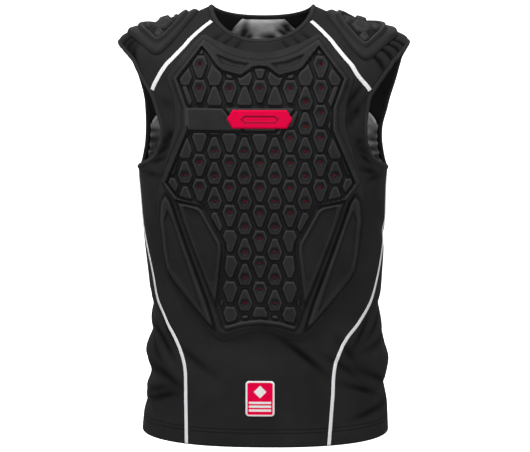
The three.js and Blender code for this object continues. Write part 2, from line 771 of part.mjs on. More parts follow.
// Bindings and the turned hem
const neckLine = steps(24, 0, ROUND).slice(0, -1).map((u) => ({ u, v: 1 }));
add("neck_binding", binding(neckLine, 1), knit);
for (const { side, armhole } of EDGES) {
  add(`armhole_binding_${side.name}`, binding(armhole, -side.sign), knit);
}
const [leftHem, rightHem] = sideGrids.map((grid) => grid[0].slice(1, -1));
const hemLine = [...frontGrid[0], ...leftHem, ...backGrid[0].toReversed(), ...rightHem.toReversed()];
add("hem_turn", ring(hemLine.map(({ u }) => [
  clothPoint(u, 0.001, liningOuter),
  clothPoint(u, hemTop, liningOuter),
  clothPoint(u, hemTop, liningOuter - HEM_THICK),
  clothPoint(u, 0.001, liningOuter - HEM_THICK),
])), knit);

// Seam tapes: outside on every seam, and inside on the back raglan seams
const tapeShares = (from, to) => [from, ...RAGLAN_SHARES.slice(1, -1), to];
const INNER_TAPE_SHARES = [0.08, ...RAGLAN_SHARES.slice(1, 4)];
const innerTape = liningInner - INNER_TAPE_GAP - TAPE_THICK;
for (const { side, raglanFrontPlaces, raglanBackPlaces, seamFront, seamBack } of EDGES) {
  const tapes = [
    ["raglan_tape_front", placesAlong(raglanFrontPlaces, tapeShares(0.015, 0.97)), RAGLAN_TAPE_WIDTH, TAPE_LIFT],
    ["raglan_tape_back", placesAlong(raglanBackPlaces, tapeShares(0.03, 0.97)), RAGLAN_TAPE_WIDTH, TAPE_LIFT],
    ["raglan_tape_inner", placesAlong(raglanBackPlaces, INNER_TAPE_SHARES), INNER_TAPE_WIDTH, innerTape],
    ["side_tape_front", seamFront.slice(0, -1), SIDE_TAPE_WIDTH, TAPE_LIFT],
    ["side_tape_back", seamBack.slice(0, -1), SIDE_TAPE_WIDTH, TAPE_LIFT],
  ];
  for (const [name, line, width, lift] of tapes) {
    add(`${name}_${side.name}`, tape(line, width, lift), tapeCloth);
  }
}

// Chest plate: flange, rim, collar block, band and pads, with holes through
const field = mirrored(FIELD_OUTLINE);
const rowHeight = (row) => ROW_FIRST + ROW_PITCH * row - ROW_CLOSING * row * row;
const padMiddle = (column, row) => [
  column * COLUMN_PITCH,
  rowHeight(row + (column % 2 === 0 ? 0 : ODD_ROW_SHIFT)),
];
function padOutline(column, row) {
  const [x, z] = padMiddle(column, row);
  const flip = column % 2 === 0 ? 1 : -1;
  const half = [[PAD.blunt, PAD.up], [PAD.wide, 0], [PAD.tip, -PAD.down]];
  const whole = [...half, ...half.map(([a, b]) => [-a, b]).reverse()];
  return whole.map(([a, b]) => [x + a, z + flip * b]);
}
const rimOutline = mirrored([
  ...RIM_TOP, ...offsetOutline(field, 7).slice(6, FIELD_OUTLINE.length),
]);
const padRoom = slab(offsetOutline(field, -GROOVE), 0, PAD_THICK)
  .subtract(slab(offsetOutline(BAND_OUTLINE, GROOVE), -1, PAD_THICK + 1))
  .subtract(slab(offsetOutline(BADGE_ZONE, GROOVE), -1, PAD_THICK + 1));
let plate = slab(mirrored(PLATE_OUTLINE), 0, FLANGE_THICK)
  .add(slab(rimOutline, 0, RIM_THICK).subtract(slab(field, FLOOR_THICK, RIM_THICK + 1)));
plate = plate.add(slab(BAND_OUTLINE, 0, BLOCK_THICK)).add(slab(BADGE_ZONE, 0, BLOCK_THICK));
for (const side of [1, -1]) {
  const pocket = COLLAR_POCKET.map(([x, z]) => [side * x, z]);
  plate = plate.subtract(slab(pocket, RIM_THICK - 2, RIM_THICK + 1));
  for (const rib of [INNER_RIB, OUTER_RIB]) {
    const seat = offsetOutline(rib.map(([x, z]) => [side * x, z]), 0.6);
    plate = plate.subtract(slab(seat, FLANGE_THICK, RIM_THICK + 1));
  }
}
for (let column = -LAST_COLUMN; column <= LAST_COLUMN; column += 1) {
  for (let row = -1; row <= LAST_ROW; row += 1) {
    const pad = slab(padOutline(column, row), 0, PAD_THICK).intersect(padRoom);
    if (pad.volume() > SMALLEST_PAD * PAD_THICK) {
      plate = plate.add(pad);
    }
  }
}
const HOLE_SIDES = 6;
const holeShape = (x, z) => Array.from({ length: HOLE_SIDES }, (_, i) => {
  const turn = (i / HOLE_SIDES) * 2 * Math.PI;
  return [x + HOLE_RADIUS * Math.cos(turn), z + HOLE_RADIUS * Math.sin(turn)];
});
for (const group of HOLES) {
  for (const column of group.columns) {
    for (let row = group.from; row <= group.to; row += 1) {
      const [x, z] = padMiddle(column, row);
      plate = plate.subtract(slab(holeShape(x, z), -1, PAD_THICK + 1));
    }
  }
}
const frontAt = (lift) => (x, z, height) => onFront(x, z, lift + height);
add("chest_plate", bentOnto(plate, frontAt(PLATE_LIFT), PLATE_TOLERANCE), foam);
const backingAt = (height) => BACKING.map(({ half, z }) => steps(8, -half, half).map((x) => onFront(x, z, height)));
add("plate_backing", wallBetween(backingAt(BACKING_LIFT + BACKING_THICK), backingAt(BACKING_LIFT)), redCloth);
for (const side of SIDES) {
  const turned = (outline) => outline.map(([x, z]) => [side.sign * x, z]);
  const ribs = [["inner", INNER_RIB, INNER_POCKET], ["outer", OUTER_RIB, OUTER_POCKET]];
  for (const [name, outline, pocket] of ribs) {
    const rib = slab(turned(outline), 0, RIB_THICK)
      .subtract(slab(turned(pocket), RIB_THICK - RIB_POCKET, RIB_THICK + 1));
    add(`rib_plate_${name}_${side.name}`, bentOnto(rib, frontAt(RIB_LIFT)), foam);
  }
}

// Badge on the band and patch near the hem
const badge = slab(BADGE_OUTLINE, 0, BADGE_THICK).subtract(slab(BADGE_SLOT, BADGE_THICK - 0.8, BADGE_THICK + 1));
add("chest_badge", bentOnto(badge, frontAt(BADGE_LIFT)), redRubber);
function roundedBox(width, height, corner, steps) {
  const outline = [];
  for (let k = 0; k < 4 * steps; k += 1) {
    const quarter = Math.floor(k / steps);
    const turn = (quarter + (k % steps) / (steps - 1)) * Math.PI / 2;
    const x = (quarter === 0 || quarter === 3 ? 1 : -1) * (width / 2 - corner);
    const y = (quarter < 2 ? 1 : -1) * (height / 2 - corner);
    outline.push([x + corner * Math.cos(turn), LABEL_MIDDLE + y + corner * Math.sin(turn)]);
  }
  return outline;
}
const label = slab(roundedBox(LABEL_WIDTH, LABEL_HEIGHT, LABEL_CORNER, 4), 0, LABEL_THICK);
add("hem_label", bentOnto(label, frontAt(LABEL_LIFT)), redCloth);

// Shoulder pads
function hexStud(stud) {
  return Array.from({ length: 6 }, (_, i) => {
    const turn = (i * Math.PI) / 3;
    return [stud.x + stud.across * Math.cos(turn), stud.y + stud.along * Math.sin(turn)];
  });
}
for (const side of SIDES) {
  let pad = slab(SHOULDER_OUTLINE, 0, SHOULDER_BASE).add(
    slab(SHOULDER_RIDGE_LINE, 0, SHOULDER_RIDGE)
      .subtract(slab(SHOULDER_FIELD_LINE, SHOULDER_FIELD, SHOULDER_RIDGE + 1)),
  );
  for (const stud of SHOULDER_STUDS) {
    pad = pad.add(slab(hexStud(stud), 0, SHOULDER_STUD));
  }
  const laid = onShoulder(side);
  const forward = SHOULDER_FORWARD[side.name];
  const place = (x, y, height) => laid(x, y + forward, SHOULDER_PAD_LIFT + height);
  add(`shoulder_pad_${side.name}`, bentOnto(pad, place, SHOULDER_TOLERANCE), foam);
}

export default vest;
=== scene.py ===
# %% [markdown]
# # A protective sport vest in its worn form
# The vest is a sleeveless stretch shirt with a moulded foam chest plate, rib plates and shoulder pads.
# The CAD model gives every piece its place and size. This lesson dresses it with numpy surfaces: each
# piece is a function of two parameters on a grid, so its edges and relief can be as fine as the photo's.

import bpy
import numpy as np
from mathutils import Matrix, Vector


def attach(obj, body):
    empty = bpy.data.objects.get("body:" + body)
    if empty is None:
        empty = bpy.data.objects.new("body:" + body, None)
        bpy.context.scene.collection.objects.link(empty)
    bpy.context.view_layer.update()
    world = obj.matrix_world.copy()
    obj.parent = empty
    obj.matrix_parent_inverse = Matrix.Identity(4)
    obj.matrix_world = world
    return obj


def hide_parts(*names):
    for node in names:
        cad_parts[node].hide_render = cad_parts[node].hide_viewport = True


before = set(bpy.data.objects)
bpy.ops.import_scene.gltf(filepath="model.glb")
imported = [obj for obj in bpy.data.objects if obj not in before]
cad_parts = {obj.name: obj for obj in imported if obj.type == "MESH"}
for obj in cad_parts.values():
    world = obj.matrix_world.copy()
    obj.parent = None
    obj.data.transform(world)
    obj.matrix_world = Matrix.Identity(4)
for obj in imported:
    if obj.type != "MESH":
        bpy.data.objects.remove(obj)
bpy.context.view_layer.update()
MM = 0.001

# %% [markdown]
# ## Camera
# The picture is a catalogue shot with a long lens, a little above the middle of the vest. The camera looks
# at a point halfway down the body, because the hem's and the neck's curves then open as they do there.

# %% Camera
LOOK_AT = Vector((0.004, 0.0, -0.329))
DISTANCE = 2.2
ELEVATION = np.radians(8.5)
AZIMUTH = np.radians(1.6)
LENS, SENSOR = 99.6, 36.0


def from_centre(distance, azimuth, elevation):
    """A place at a distance: azimuth turns to the viewer's right of the front, elevation climbs."""
    level = distance * np.cos(elevation)
    return Vector((level * np.sin(azimuth), -level * np.cos(azimuth), distance * np.sin(elevation)))


camera = bpy.data.objects.new("camera", bpy.data.cameras.new("camera"))
camera.location = LOOK_AT + from_centre(DISTANCE, AZIMUTH, ELEVATION)
camera.rotation_euler = (LOOK_AT - camera.location).to_track_quat("-Z", "Y").to_euler()
camera.data.lens = LENS
camera.data.sensor_width = SENSOR
bpy.context.scene.collection.objects.link(camera)
bpy.context.scene.camera = camera
print("camera stands at", [round(c, 3) for c in camera.location])

# %% [markdown]
# ## Studio
# A white sweep stands for the studio: a floor that curves up into a wall, so that no corner shows. Large
# soft lamps give the even light of a catalogue picture, and the strongest comes from above and in front,
# which leaves the grooves between the pads dark. The sweep is seen but throws no light back, so that the
# underside of the chest stays dark too.

# %% Sweep
FLOOR_LEVEL, FLOOR_FRONT, FLOOR_BACK = -0.74, -4.0, 2.2
WALL_TOP, SWEEP_BEND, SWEEP_WIDTH = 5.0, 1.2, 6.0


def make_mesh(name, points, faces, scale=MM):
    """A smooth mesh from an array of points and an array of four-cornered faces."""
    mesh = bpy.data.meshes.new(name)
    mesh.vertices.add(len(points))
    mesh.vertices.foreach_set("co", (np.asarray(points, float) * scale).ravel())
    mesh.loops.add(faces.size)
    mesh.loops.foreach_set("vertex_index", np.ascontiguousarray(faces, np.int32).ravel())
    mesh.polygons.add(len(faces))
    mesh.polygons.foreach_set("loop_start", np.arange(0, faces.size, faces.shape[1], dtype=np.int32))
    mesh.polygons.foreach_set("use_smooth", np.ones(len(faces), bool))
    mesh.update(calc_edges=True)
    mesh.validate()
    piece = bpy.data.objects.new(name, mesh)
    bpy.context.scene.collection.objects.link(piece)
    return piece


def grid_faces(rows, columns, around=False):
    """The faces between the neighbours of a grid of points; around joins the last column to the first."""
    index = np.arange(rows * columns).reshape(rows, columns)
    if around:
        index = np.concatenate([index, index[:, :1]], axis=1)
    return np.stack([index[:-1, :-1], index[:-1, 1:], index[1:, 1:], index[1:, :-1]], axis=-1).reshape(-1, 4)


def sweep_points():
    """A floor line that runs back, turns up on a quarter circle and climbs, repeated across the width."""
    turn = np.linspace(0, np.pi / 2, 24)
    back = np.concatenate([[FLOOR_FRONT], FLOOR_BACK + SWEEP_BEND * np.sin(turn), [FLOOR_BACK + SWEEP_BEND]])
    up = np.concatenate([[0.0], SWEEP_BEND * (1 - np.cos(turn)), [WALL_TOP]]) + FLOOR_LEVEL
    across = np.linspace(-SWEEP_WIDTH, SWEEP_WIDTH, 3)
    x, y = np.meshgrid(across, back)
    return np.stack([x, y, np.repeat(up[:, None], len(across), axis=1)], axis=-1)


sweep_grid = sweep_points()
sweep = make_mesh("studio_sweep", sweep_grid.reshape(-1, 3), grid_faces(*sweep_grid.shape[:2]), scale=1.0)
sweep.visible_diffuse = False
sweep.visible_glossy = False
print("sweep points", sweep_grid.shape[:2])

# %% Lamps and world
LAMPS_AIM = Vector((0, 0, -0.3))
WORLD_STRENGTH = 0.18
LAMPS = [
    # name, place, width, height, watts
    ("top_front", (-0.45, -0.95, 2.0), 1.0, 0.6, 54.0),
    ("front_fill", (0.3, -2.6, 0.0), 2.4, 1.6, 40.0),
    ("left_side", (-2.2, -0.8, 0.2), 1.0, 2.0, 16.0),
    ("right_side", (2.2, -0.6, 0.2), 1.0, 2.0, 16.0),
    ("behind", (0.0, 1.7, 1.6), 2.4, 1.0, 16.0),
]
for lamp_name, place, width, height, watts in LAMPS:
    lamp = bpy.data.lights.new(lamp_name, "AREA")
    lamp.shape = "RECTANGLE"
    lamp.size, lamp.size_y, lamp.energy = width, height, watts
    holder = bpy.data.objects.new(lamp_name, lamp)
    holder.location = Vector(place)
    holder.rotation_euler = (LAMPS_AIM - Vector(place)).to_track_quat("-Z", "Y").to_euler()
    bpy.context.scene.collection.objects.link(holder)

world = bpy.data.worlds.new("studio")
world.use_nodes = True
background = world.node_tree.nodes["Background"]
background.inputs["Color"].default_value = (1, 1, 1, 1)
background.inputs["Strength"].default_value = WORLD_STRENGTH
bpy.context.scene.world = world
bpy.context.scene.view_settings.view_transform = "Standard"
print("lamps", [row[0] for row in LAMPS])

# %% [markdown]
# ## Shader maths
# Procedural cloth is arithmetic on coordinates. A small class wraps a socket so that an expression such as
# `1 - mask * 0.5` adds its own Math nodes, and one method makes any other node.

# %% A socket that can be added and multiplied


class Value:
    """A number or vector that flows from a node's socket, with arithmetic that adds Math nodes."""

    def __init__(self, tree, socket):
        self.tree = tree
        self.socket = socket

    def math(self, operation, *others):
        return make_node(self.tree, "ShaderNodeMath", {"operation": operation}, {
            i: value for i, value in enumerate((self, *others))
        })

    def __add__(self, other):
        return self.math("ADD", other)

    __radd__ = __add__

    def __mul__(self, other):
        return self.math("MULTIPLY", other)

    __rmul__ = __mul__

    def __sub__(self, other):
        return self.math("SUBTRACT", other)

    def __rsub__(self, other):
        return (self * -1.0) + other

    def sine(self):
        return self.math("SINE")

    def size(self):
        return self.math("ABSOLUTE")

    def clamp(self):
        return make_node(self.tree, "ShaderNodeClamp", {}, {"Value": self})


def make_node(tree, kind, settings, sockets, output=0):
    """A node of a kind: its settings first, then the values or links of its sockets."""
    node = tree.nodes.new(kind)
    for key, value in settings.items():
        setattr(node, key, value)
    for key, value in sockets.items():
        socket = node.inputs[key]
        if isinstance(value, Value):
            tree.links.new(value.socket, socket)
        else:
            socket.default_value = value
    return Value(tree, node.outputs[output])


def mixed(tree, share, first, second):
    """A colour between two colours."""
    return make_node(tree, "ShaderNodeMix", {"data_type": "RGBA"}, {0: share, 6: first, 7: second}, 2)


print("a value can", [name for name in vars(Value) if not name.endswith("__")])

# %% Helpers that every finish uses


def new_material(name, roughness, sheen=0.0, shine=0.12):
    """A principled material, its tree and its shader; sheen is the soft glow of fibres seen edge on, and
    shine is the strength of plain reflection."""
    material = bpy.data.materials.new(name)
    material.use_nodes = True
    tree = material.node_tree
    shader = tree.nodes["Principled BSDF"]
    shader.inputs["Roughness"].default_value = roughness
    shader.inputs["Sheen Weight"].default_value = sheen
    shader.inputs["Sheen Roughness"].default_value = 0.4
    shader.inputs["Specular IOR Level"].default_value = shine
    return material, tree, shader


def axes_of(tree):
    """Object coordinates, whole and as x, y and z."""
    place = make_node(tree, "ShaderNodeTexCoord", {}, {}, "Object")
    parts = tree.nodes.new("ShaderNodeSeparateXYZ")
    tree.links.new(place.socket, parts.inputs[0])
    return place, [Value(tree, parts.outputs[i]) for i in range(3)]


def noise(tree, place, scale, detail=2.0):
    """Smooth random variation between 0 and 1."""
    return make_node(tree, "ShaderNodeTexNoise", {}, {"Vector": place, "Scale": scale, "Detail": detail}, 0)


def bump(tree, shader, height, strength, distance):
    """Small relief that only the light sees."""
    normal = make_node(tree, "ShaderNodeBump", {}, {
        "Height": height, "Strength": strength, "Distance": distance,
    })
    tree.links.new(normal.socket, shader.inputs["Normal"])


def link(value, shader, name):
    """A value feeds one socket of a shader."""
    value.tree.links.new(value.socket, shader.inputs[name])


def kept(tree, name):
    """The numbers that a piece keeps at its points under a name."""
    return make_node(tree, "ShaderNodeAttribute", {"attribute_name": name}, {}, "Fac")


print("shader helpers ready")


# %% [markdown]
# ## Cloth and foam finishes
# The shirt is a fine black stretch knit: columns of loops that catch a little light, and painted shade in
# the creases. The foam is matt, with a pitted skin, painted highlights on its edges and painted shade in its
# grooves. The lining is an open grey mesh, and the tapes are pale and ribbed.
# All the patterns stand on Object coordinates or on the piece's own attribute, so they stay where they are.

# %% Knit
KNIT_PITCH = 0.0011
HEM_STITCHES = (-0.6165, -0.6110)
STITCH_PITCH, STITCH_HALF = 0.0030, 0.0011


def ribbed(coordinate, pitch):
    """Even ribs across a coordinate, from 0 to 1."""
    return (coordinate * (2 * np.pi / pitch)).sine() * 0.5 + 0.5


def line_at(coordinate, level):
    """A thin line at one level of a coordinate: 1 on it, fading to 0 beside it."""
    return (1 - (coordinate - level).size() * (1 / STITCH_HALF)).clamp()


def knit_finish(name, dark, pale, sheen):
    """Columns of loops crossed by rows, over a slow change of tone, with two lines of stitches over the hem,
    and painted shade that darkens the creases, as a point attribute says."""
    material, tree, shader = new_material(name, roughness=0.85, sheen=sheen, shine=0.03)
    place, (x, y, z) = axes_of(tree)
    columns = ribbed(x + y * 0.6, KNIT_PITCH)
    rows = ribbed(z, KNIT_PITCH * 0.8)
    slow = noise(tree, place, scale=22.0, detail=3.0)
    lines = sum(line_at(z, level) for level in HEM_STITCHES)
    stitches = lines * (ribbed(x + y, STITCH_PITCH) * 0.6 + 0.4)
    tone = (slow * 0.8 + columns * rows * 0.4 - 0.1 - stitches).clamp()
    # painted shade: the cloth goes towards black in the creases, as the point attribute says
    painted_shade = kept(tree, "painted_shade")
    cloth = mixed(tree, tone, (*dark, 1), (*pale, 1))
    link(mixed(tree, painted_shade.clamp(), cloth, (0.001, 0.001, 0.001, 1)), shader, "Base Color")
    loops = columns * 0.6 + rows * 0.4 + noise(tree, place, scale=900.0) * 0.5
    bump(tree, shader, loops - stitches * 4.0, strength=0.4, distance=0.0004)
    return material


shirt_knit = knit_finish("shirt_knit", (0.010, 0.010, 0.0103), (0.027, 0.027, 0.0275), sheen=0.04)
binding_knit = knit_finish("binding_knit", (0.016, 0.016, 0.0163), (0.036, 0.036, 0.0365), sheen=0.06)
print("knits", shirt_knit.name, binding_knit.name)

# %% Foam
FOAM_SHADE_STRENGTH = 0.84


def foam_finish(name, dark, pale):
    """A pitted matt skin, paler with painted highlights along the edges of its relief and darker with
    painted shade in its grooves, as two point attributes say.
    """
    material, tree, shader = new_material(name, roughness=0.62, sheen=0.03, shine=0.07)
    place, _ = axes_of(tree)
    slow = noise(tree, place, scale=30.0, detail=3.0)
    # painted highlights along the relief's edges and painted shade in its grooves, both from point
    # attributes
    edge = kept(tree, "edge")
    painted_shade = kept(tree, "painted_shade")
    tone = (slow * 0.4 + edge * 0.7).clamp()
    skin_and_highlights = mixed(tree, tone, (*dark, 1), (*pale, 1))
    link(mixed(tree, (painted_shade * FOAM_SHADE_STRENGTH).clamp(), skin_and_highlights, (0.002, 0.002, 0.002, 1)), shader, "Base Color")
    link(noise(tree, place, scale=240.0) * 0.16 + 0.54, shader, "Roughness")
    bump(tree, shader, noise(tree, place, scale=1500.0), strength=0.3, distance=0.0003)
    return material


plate_foam = foam_finish("plate_foam", (0.0110, 0.0110, 0.0113), (0.043, 0.043, 0.044))
print("foam", plate_foam.name)

# %% Tape and mesh
TAPE_RIB, MESH_PITCH = 0.0016, 0.0024


def tape_finish(name):
    """A pale tape with fine ribs across it."""
    material, tree, shader = new_material(name, roughness=0.55)
    place, (x, _, z) = axes_of(tree)
    ribs = ribbed(x * 0.8 + z, TAPE_RIB)
    tone = (ribs * 0.35 + noise(tree, place, scale=60.0) * 0.5).clamp()
    link(mixed(tree, tone, (0.56, 0.56, 0.58, 1), (0.82, 0.82, 0.84, 1)), shader, "Base Color")
    bump(tree, shader, ribs, strength=0.4, distance=0.0003)
    return material


def mesh_finish(name):
    """An open grey mesh: dark cells in a diamond net, darker with painted shade where a point attribute says
    so.
    """
    material, tree, shader = new_material(name, roughness=0.8, sheen=0.1)
    place, (x, _, z) = axes_of(tree)
    cells = ribbed(x + z, MESH_PITCH) * ribbed(x - z, MESH_PITCH)
    # painted shade from the point attribute darkens the mesh
    painted_shade = kept(tree, "painted_shade")
    tone = (1 - cells * 0.6) * (noise(tree, place, scale=60.0, detail=4.0) * 0.9 + 0.55) * (1 - painted_shade)
    link(mixed(tree, tone.clamp(), (0.03, 0.03, 0.032, 1), (0.80, 0.80, 0.79, 1)), shader, "Base Color")
    bump(tree, shader, 1 - cells, strength=0.5, distance=0.0006)
    return material


seam_tape = tape_finish("seam_tape")
lining_mesh = mesh_finish("lining_mesh")
print("tape and mesh", seam_tape.name, lining_mesh.name)

# %% Reds and the sweep's white


def red_finish(name, roughness, weave, dark, pale):
    """Red, pale where the attribute called rim says so, and darkened by painted shade where another point
    attribute says so.
    """
    material, tree, shader = new_material(name, roughness, shine=0.02)
    place, (x, _, z) = axes_of(tree)
    threads = ribbed(x, weave) * 0.5 + ribbed(z, weave) * 0.5
    slow = noise(tree, place, scale=80.0)
    red = mixed(tree, (threads * 0.3 + slow * 0.5).clamp(), (*dark, 1), (*pale, 1))
    both = mixed(tree, kept(tree, "rim").clamp(), red, (0.72, 0.72, 0.73, 1))
    link(mixed(tree, kept(tree, "painted_shade").clamp(), both, (0.012, 0.008, 0.009, 1)), shader, "Base Color")
    bump(tree, shader, threads, strength=0.3, distance=0.0003)
    return material


def plain_finish(name, colour, roughness):
    """A nearly even colour with a faint mottle."""
    material, tree, shader = new_material(name, roughness)
    place, _ = axes_of(tree)
    pale = tuple(min(c * 1.15, 1.0) for c in colour)
    link(mixed(tree, noise(tree, place, scale=3.0), (*colour, 1), (*pale, 1)), shader, "Base Color")
    return material


# name, roughness, pitch of the weave, dark and pale red
backing_red = red_finish("backing_red", 0.7, 0.0012, (0.15, 0.020, 0.028), (0.23, 0.031, 0.044))
label_red = red_finish("label_red", 0.7, 0.0012, (0.56, 0.0005, 0.035), (0.90, 0.001, 0.070))
badge_red = red_finish("badge_red", 0.5, 0.0030, (0.47, 0.0004, 0.030), (0.76, 0.001, 0.060))
sweep_white = plain_finish("sweep_white", (0.86, 0.86, 0.86), 0.9)
sweep_shader = sweep_white.node_tree.nodes["Principled BSDF"]
sweep_shader.inputs["Emission Color"].default_value = (1, 1, 1, 1)
sweep_shader.inputs["Emission Strength"].default_value = 1.0
sweep.data.materials.append(sweep_white)
print("finishes", [m.name for m in bpy.data.materials])

# %% [markdown]
# ## The worn body
# The shirt's form is a stack of rounded sections from the hem to the neck. Each row says how wide and deep
# the body is there and how high its front, side and back stand, and a smooth curve runs through the rows.
# A point is then a function of two parameters: u turns round the body and v climbs it.

# %% Sections of the body
SECTION_NAMES = ("v", "left", "right", "front", "back", "z_front", "z_side", "z_back", "square", "ease")
SECTION_ROWS = [
    (0.00, 192, 183, 117, 110, -637, -637, -637, 2.40, 2.00),
    (0.16, 187, 174, 112, 104, -543, -543, -543, 2.40, 2.00),
    (0.32, 179, 168, 108, 97, -446, -446, -446, 2.40, 2.00),
    (0.48, 183, 177, 113, 101, -340, -340, -340, 2.40, 2.00),
    (0.63, 186, 184, 118, 108, -240, -240, -240, 2.40, 2.00),
    (0.76, 202, 197, 116, 112, -166, -146, -160, 2.30, 2.00),
    (0.88, 214, 210, 105, 104, -106, -50, -88, 2.20, 1.40),
    (0.94, 146, 146, 93, 86, -76, -27, -46, 2.15, 0.55),
    (0.97, 111, 111, 85, 76, -65, -16.5, -33, 2.12, 0.38),
    (1.00, 79, 79, 77, 66, -54, -3, -21, 2.10, 0.25),
]
SECTION = {name: np.array([row[i] for row in SECTION_ROWS], float) for i, name in enumerate(SECTION_NAMES)}


def section_value(name, v):
    """One column at v: a cubic between two rows, whose slopes are those between each row's neighbours."""
    at, value = SECTION["v"], SECTION[name]
    last = len(at) - 1
    low, high = np.maximum(np.arange(last + 1) - 1, 0), np.minimum(np.arange(last + 1) + 1, last)
    slope = (value[high] - value[low]) / (at[high] - at[low])
    k = np.clip(np.searchsorted(at, v, side="right") - 1, 0, last - 1)
    span = at[k + 1] - at[k]
    t = (v - at[k]) / span
    rise = t * t * (3 - 2 * t)
    bend = slope[k] * span * t * (1 - t) ** 2 - slope[k + 1] * span * t * t * (1 - t)
    return value[k] * (1 - rise) + value[k + 1] * rise + bend


def body_point(u, v):
    """A rounded section at v, with x from the cosine and y from the sine of u, both to the power 2/square;
    its height eases from the side's to the front's or the back's."""
    part = {name: section_value(name, v) for name in SECTION_NAMES[1:]}
    power = 2 / part["square"]
    across, depth = np.abs(np.cos(u)) ** power, np.abs(np.sin(u)) ** power
    front = np.sin(u) < 0
    drop = np.where(front, part["z_front"], part["z_back"]) - part["z_side"]
    share = (np.hypot(depth, part["ease"]) - part["ease"]) / (np.hypot(1, part["ease"]) - part["ease"])
    x = np.where(np.cos(u) < 0, -part["right"], part["left"]) * across
    y = np.where(front, -part["front"], part["back"]) * depth
    return np.stack([x, y, part["z_side"] + drop * share], axis=-1)


def body_normal(u, v, step=1e-3):
    """The direction out of the cloth: the cross product of a small step round and a small step up."""
    around = body_point(u + step, v) - body_point(u - step, v)
    rise = body_point(u, np.minimum(v + step, 1.0)) - body_point(u, np.maximum(v - step, 0.0))
    normal = np.cross(around, rise)
    return normal / np.linalg.norm(normal, axis=-1, keepdims=True)


print("neck point", body_point(np.array(0.0), np.array(1.0)).round(1))

# %% [markdown]
# ## Creases
# Stretch cloth settles into a few soft creases: low on both sides, and fanning from the armpits. Each crease
# is a groove with a bell-shaped section, so a row of the table can place it, turn it and fade it out.

# %% Crease table
FOLD_RADIUS = 150.0
FOLDS = np.array([
    # side, turn from the front in degrees, z, tilt, length, width, depth
    # broad ones, low on both sides
    (-1, 78, -446, 8, 60, 13, 4.0), (-1, 80, -488, 14, 70, 12, 5.0), (-1, 80, -516, 10, 70, 14, -5.0),
    (-1, 82, -548, -6, 70, 14, 6.0), (-1, 80, -595, 6, 60, 10, 4.0), (1, 84, -336, -30, 50, 12, 3.0),
    (1, 80, -449, 10, 60, 16, 5.0), (1, 80, -522, -12, 70, 20, -6.0), (1, 82, -571, 12, 70, 14, 5.0),
    # fine ones between them
    (-1, 70, -470, 24, 46, 5, 1.6), (-1, 66, -505, 30, 40, 5, 1.5), (-1, 72, -530, 16, 50, 5, 1.8),
    (-1, 64, -566, -12, 50, 6, 1.6), (-1, 74, -578, 4, 44, 5, 1.4), (-1, 84, -424, 18, 40, 5, 1.5),
    (1, 70, -468, 26, 44, 5, 1.5), (1, 72, -494, 10, 50, 6, 1.6), (1, 66, -548, -20, 50, 6, 1.7),
    (1, 76, -590, 8, 46, 6, 1.5),
    # from the armpits
    (1, 36, -128, 62, 20, 4, 1.8), (1, 39, -152, 60, 20, 4, 1.8), (1, 34, -160, 58, 16, 4, 1.4),
    (1, 43, -193, -20, 13, 2.8, 1.5), (1, 46, -206, -28, 14, 2.8, 1.6), (1, 50, -220, -30, 14, 2.8, 1.6),
    (1, 55, -238, -10, 18, 4, 1.6), (1, 60, -248, 6, 18, 4, 1.6), (-1, 36, -143, 28, 14, 4, 1.5),
    (-1, 40, -188, -38, 18, 5, 2.2), (-1, 45, -207, -32, 18, 4, 2.0), (-1, 49, -222, -20, 16, 4, 1.6),
    (-1, 57, -244, 4, 18, 4, 1.5),
    # on the caps
    (1, 50, -82, -65, 15, 4, 2.4), (1, 57, -71, -65, 15, 4, 2.6), (1, 64, -62, -62, 14, 4, 2.6),
    (1, 71, -55, -60, 12, 4, 2.4), (-1, 58, -76, 58, 22, 4.5, 2.2), (-1, 65, -64, 58, 22, 4.5, 2.2),
    (-1, 72, -54, 60, 16, 4.5, 2.2),
    # on the belly
    (1, 16, -503, -46, 36, 4.5, 2.0), (1, 36, -522, -36, 34, 5, 1.2), (1, 40, -500, -52, 26, 5, 1.2),
    (-1, 30, -512, 34, 40, 6, 1.2), (-1, 52, -468, 48, 30, 5, 1.8), (-1, 54, -492, 40, 34, 5, 1.8),
    (-1, 50, -540, 22, 34, 5, 1.8), (-1, 52, -572, -14, 34, 5, 1.8), (1, 52, -476, 44, 32, 5, 1.6),
    (1, 50, -560, -18, 34, 5, 1.8), (1, 54, -596, 10, 34, 5, 1.4),
    # under the neck
    (1, 20, -60, 74, 14, 4, 1.2), (1, 30, -58, 66, 14, 4, 1.4), (1, 40, -52, 58, 14, 4, 1.4),
    (-1, 18, -61, 76, 14, 4, 1.2), (-1, 28, -59, 68, 14, 4, 1.4), (-1, 38, -53, 60, 14, 4, 1.4),
    # on the back
    (1, 150, -470, 8, 70, 9, 2.0), (-1, 150, -474, 8, 70, 9, 2.0), (1, 140, -530, -6, 60, 9, 1.8),
    (-1, 142, -526, -6, 60, 9, 1.8),
], float)
FOLD_WIDTH, FINE_CREASE = FOLDS[:, 5], 6.5
BROAD_FOLDS, FINE_FOLDS = FOLDS[FOLD_WIDTH > FINE_CREASE], FOLDS[FOLD_WIDTH <= FINE_CREASE]
print("creases", len(FOLDS), "of which fine", len(FINE_FOLDS))

# %% Points of the creased cloth


def groove(across, up, tilt, length, width):
    """A bell along a line at a tilt times a bell across it: 1 in its middle, fading to 0."""
    slant = np.radians(tilt)
    along = across * np.cos(slant) + up * np.sin(slant)
    off = up * np.cos(slant) - across * np.sin(slant)
    return np.exp(-((along / length) ** 2) - (off / width) ** 2)


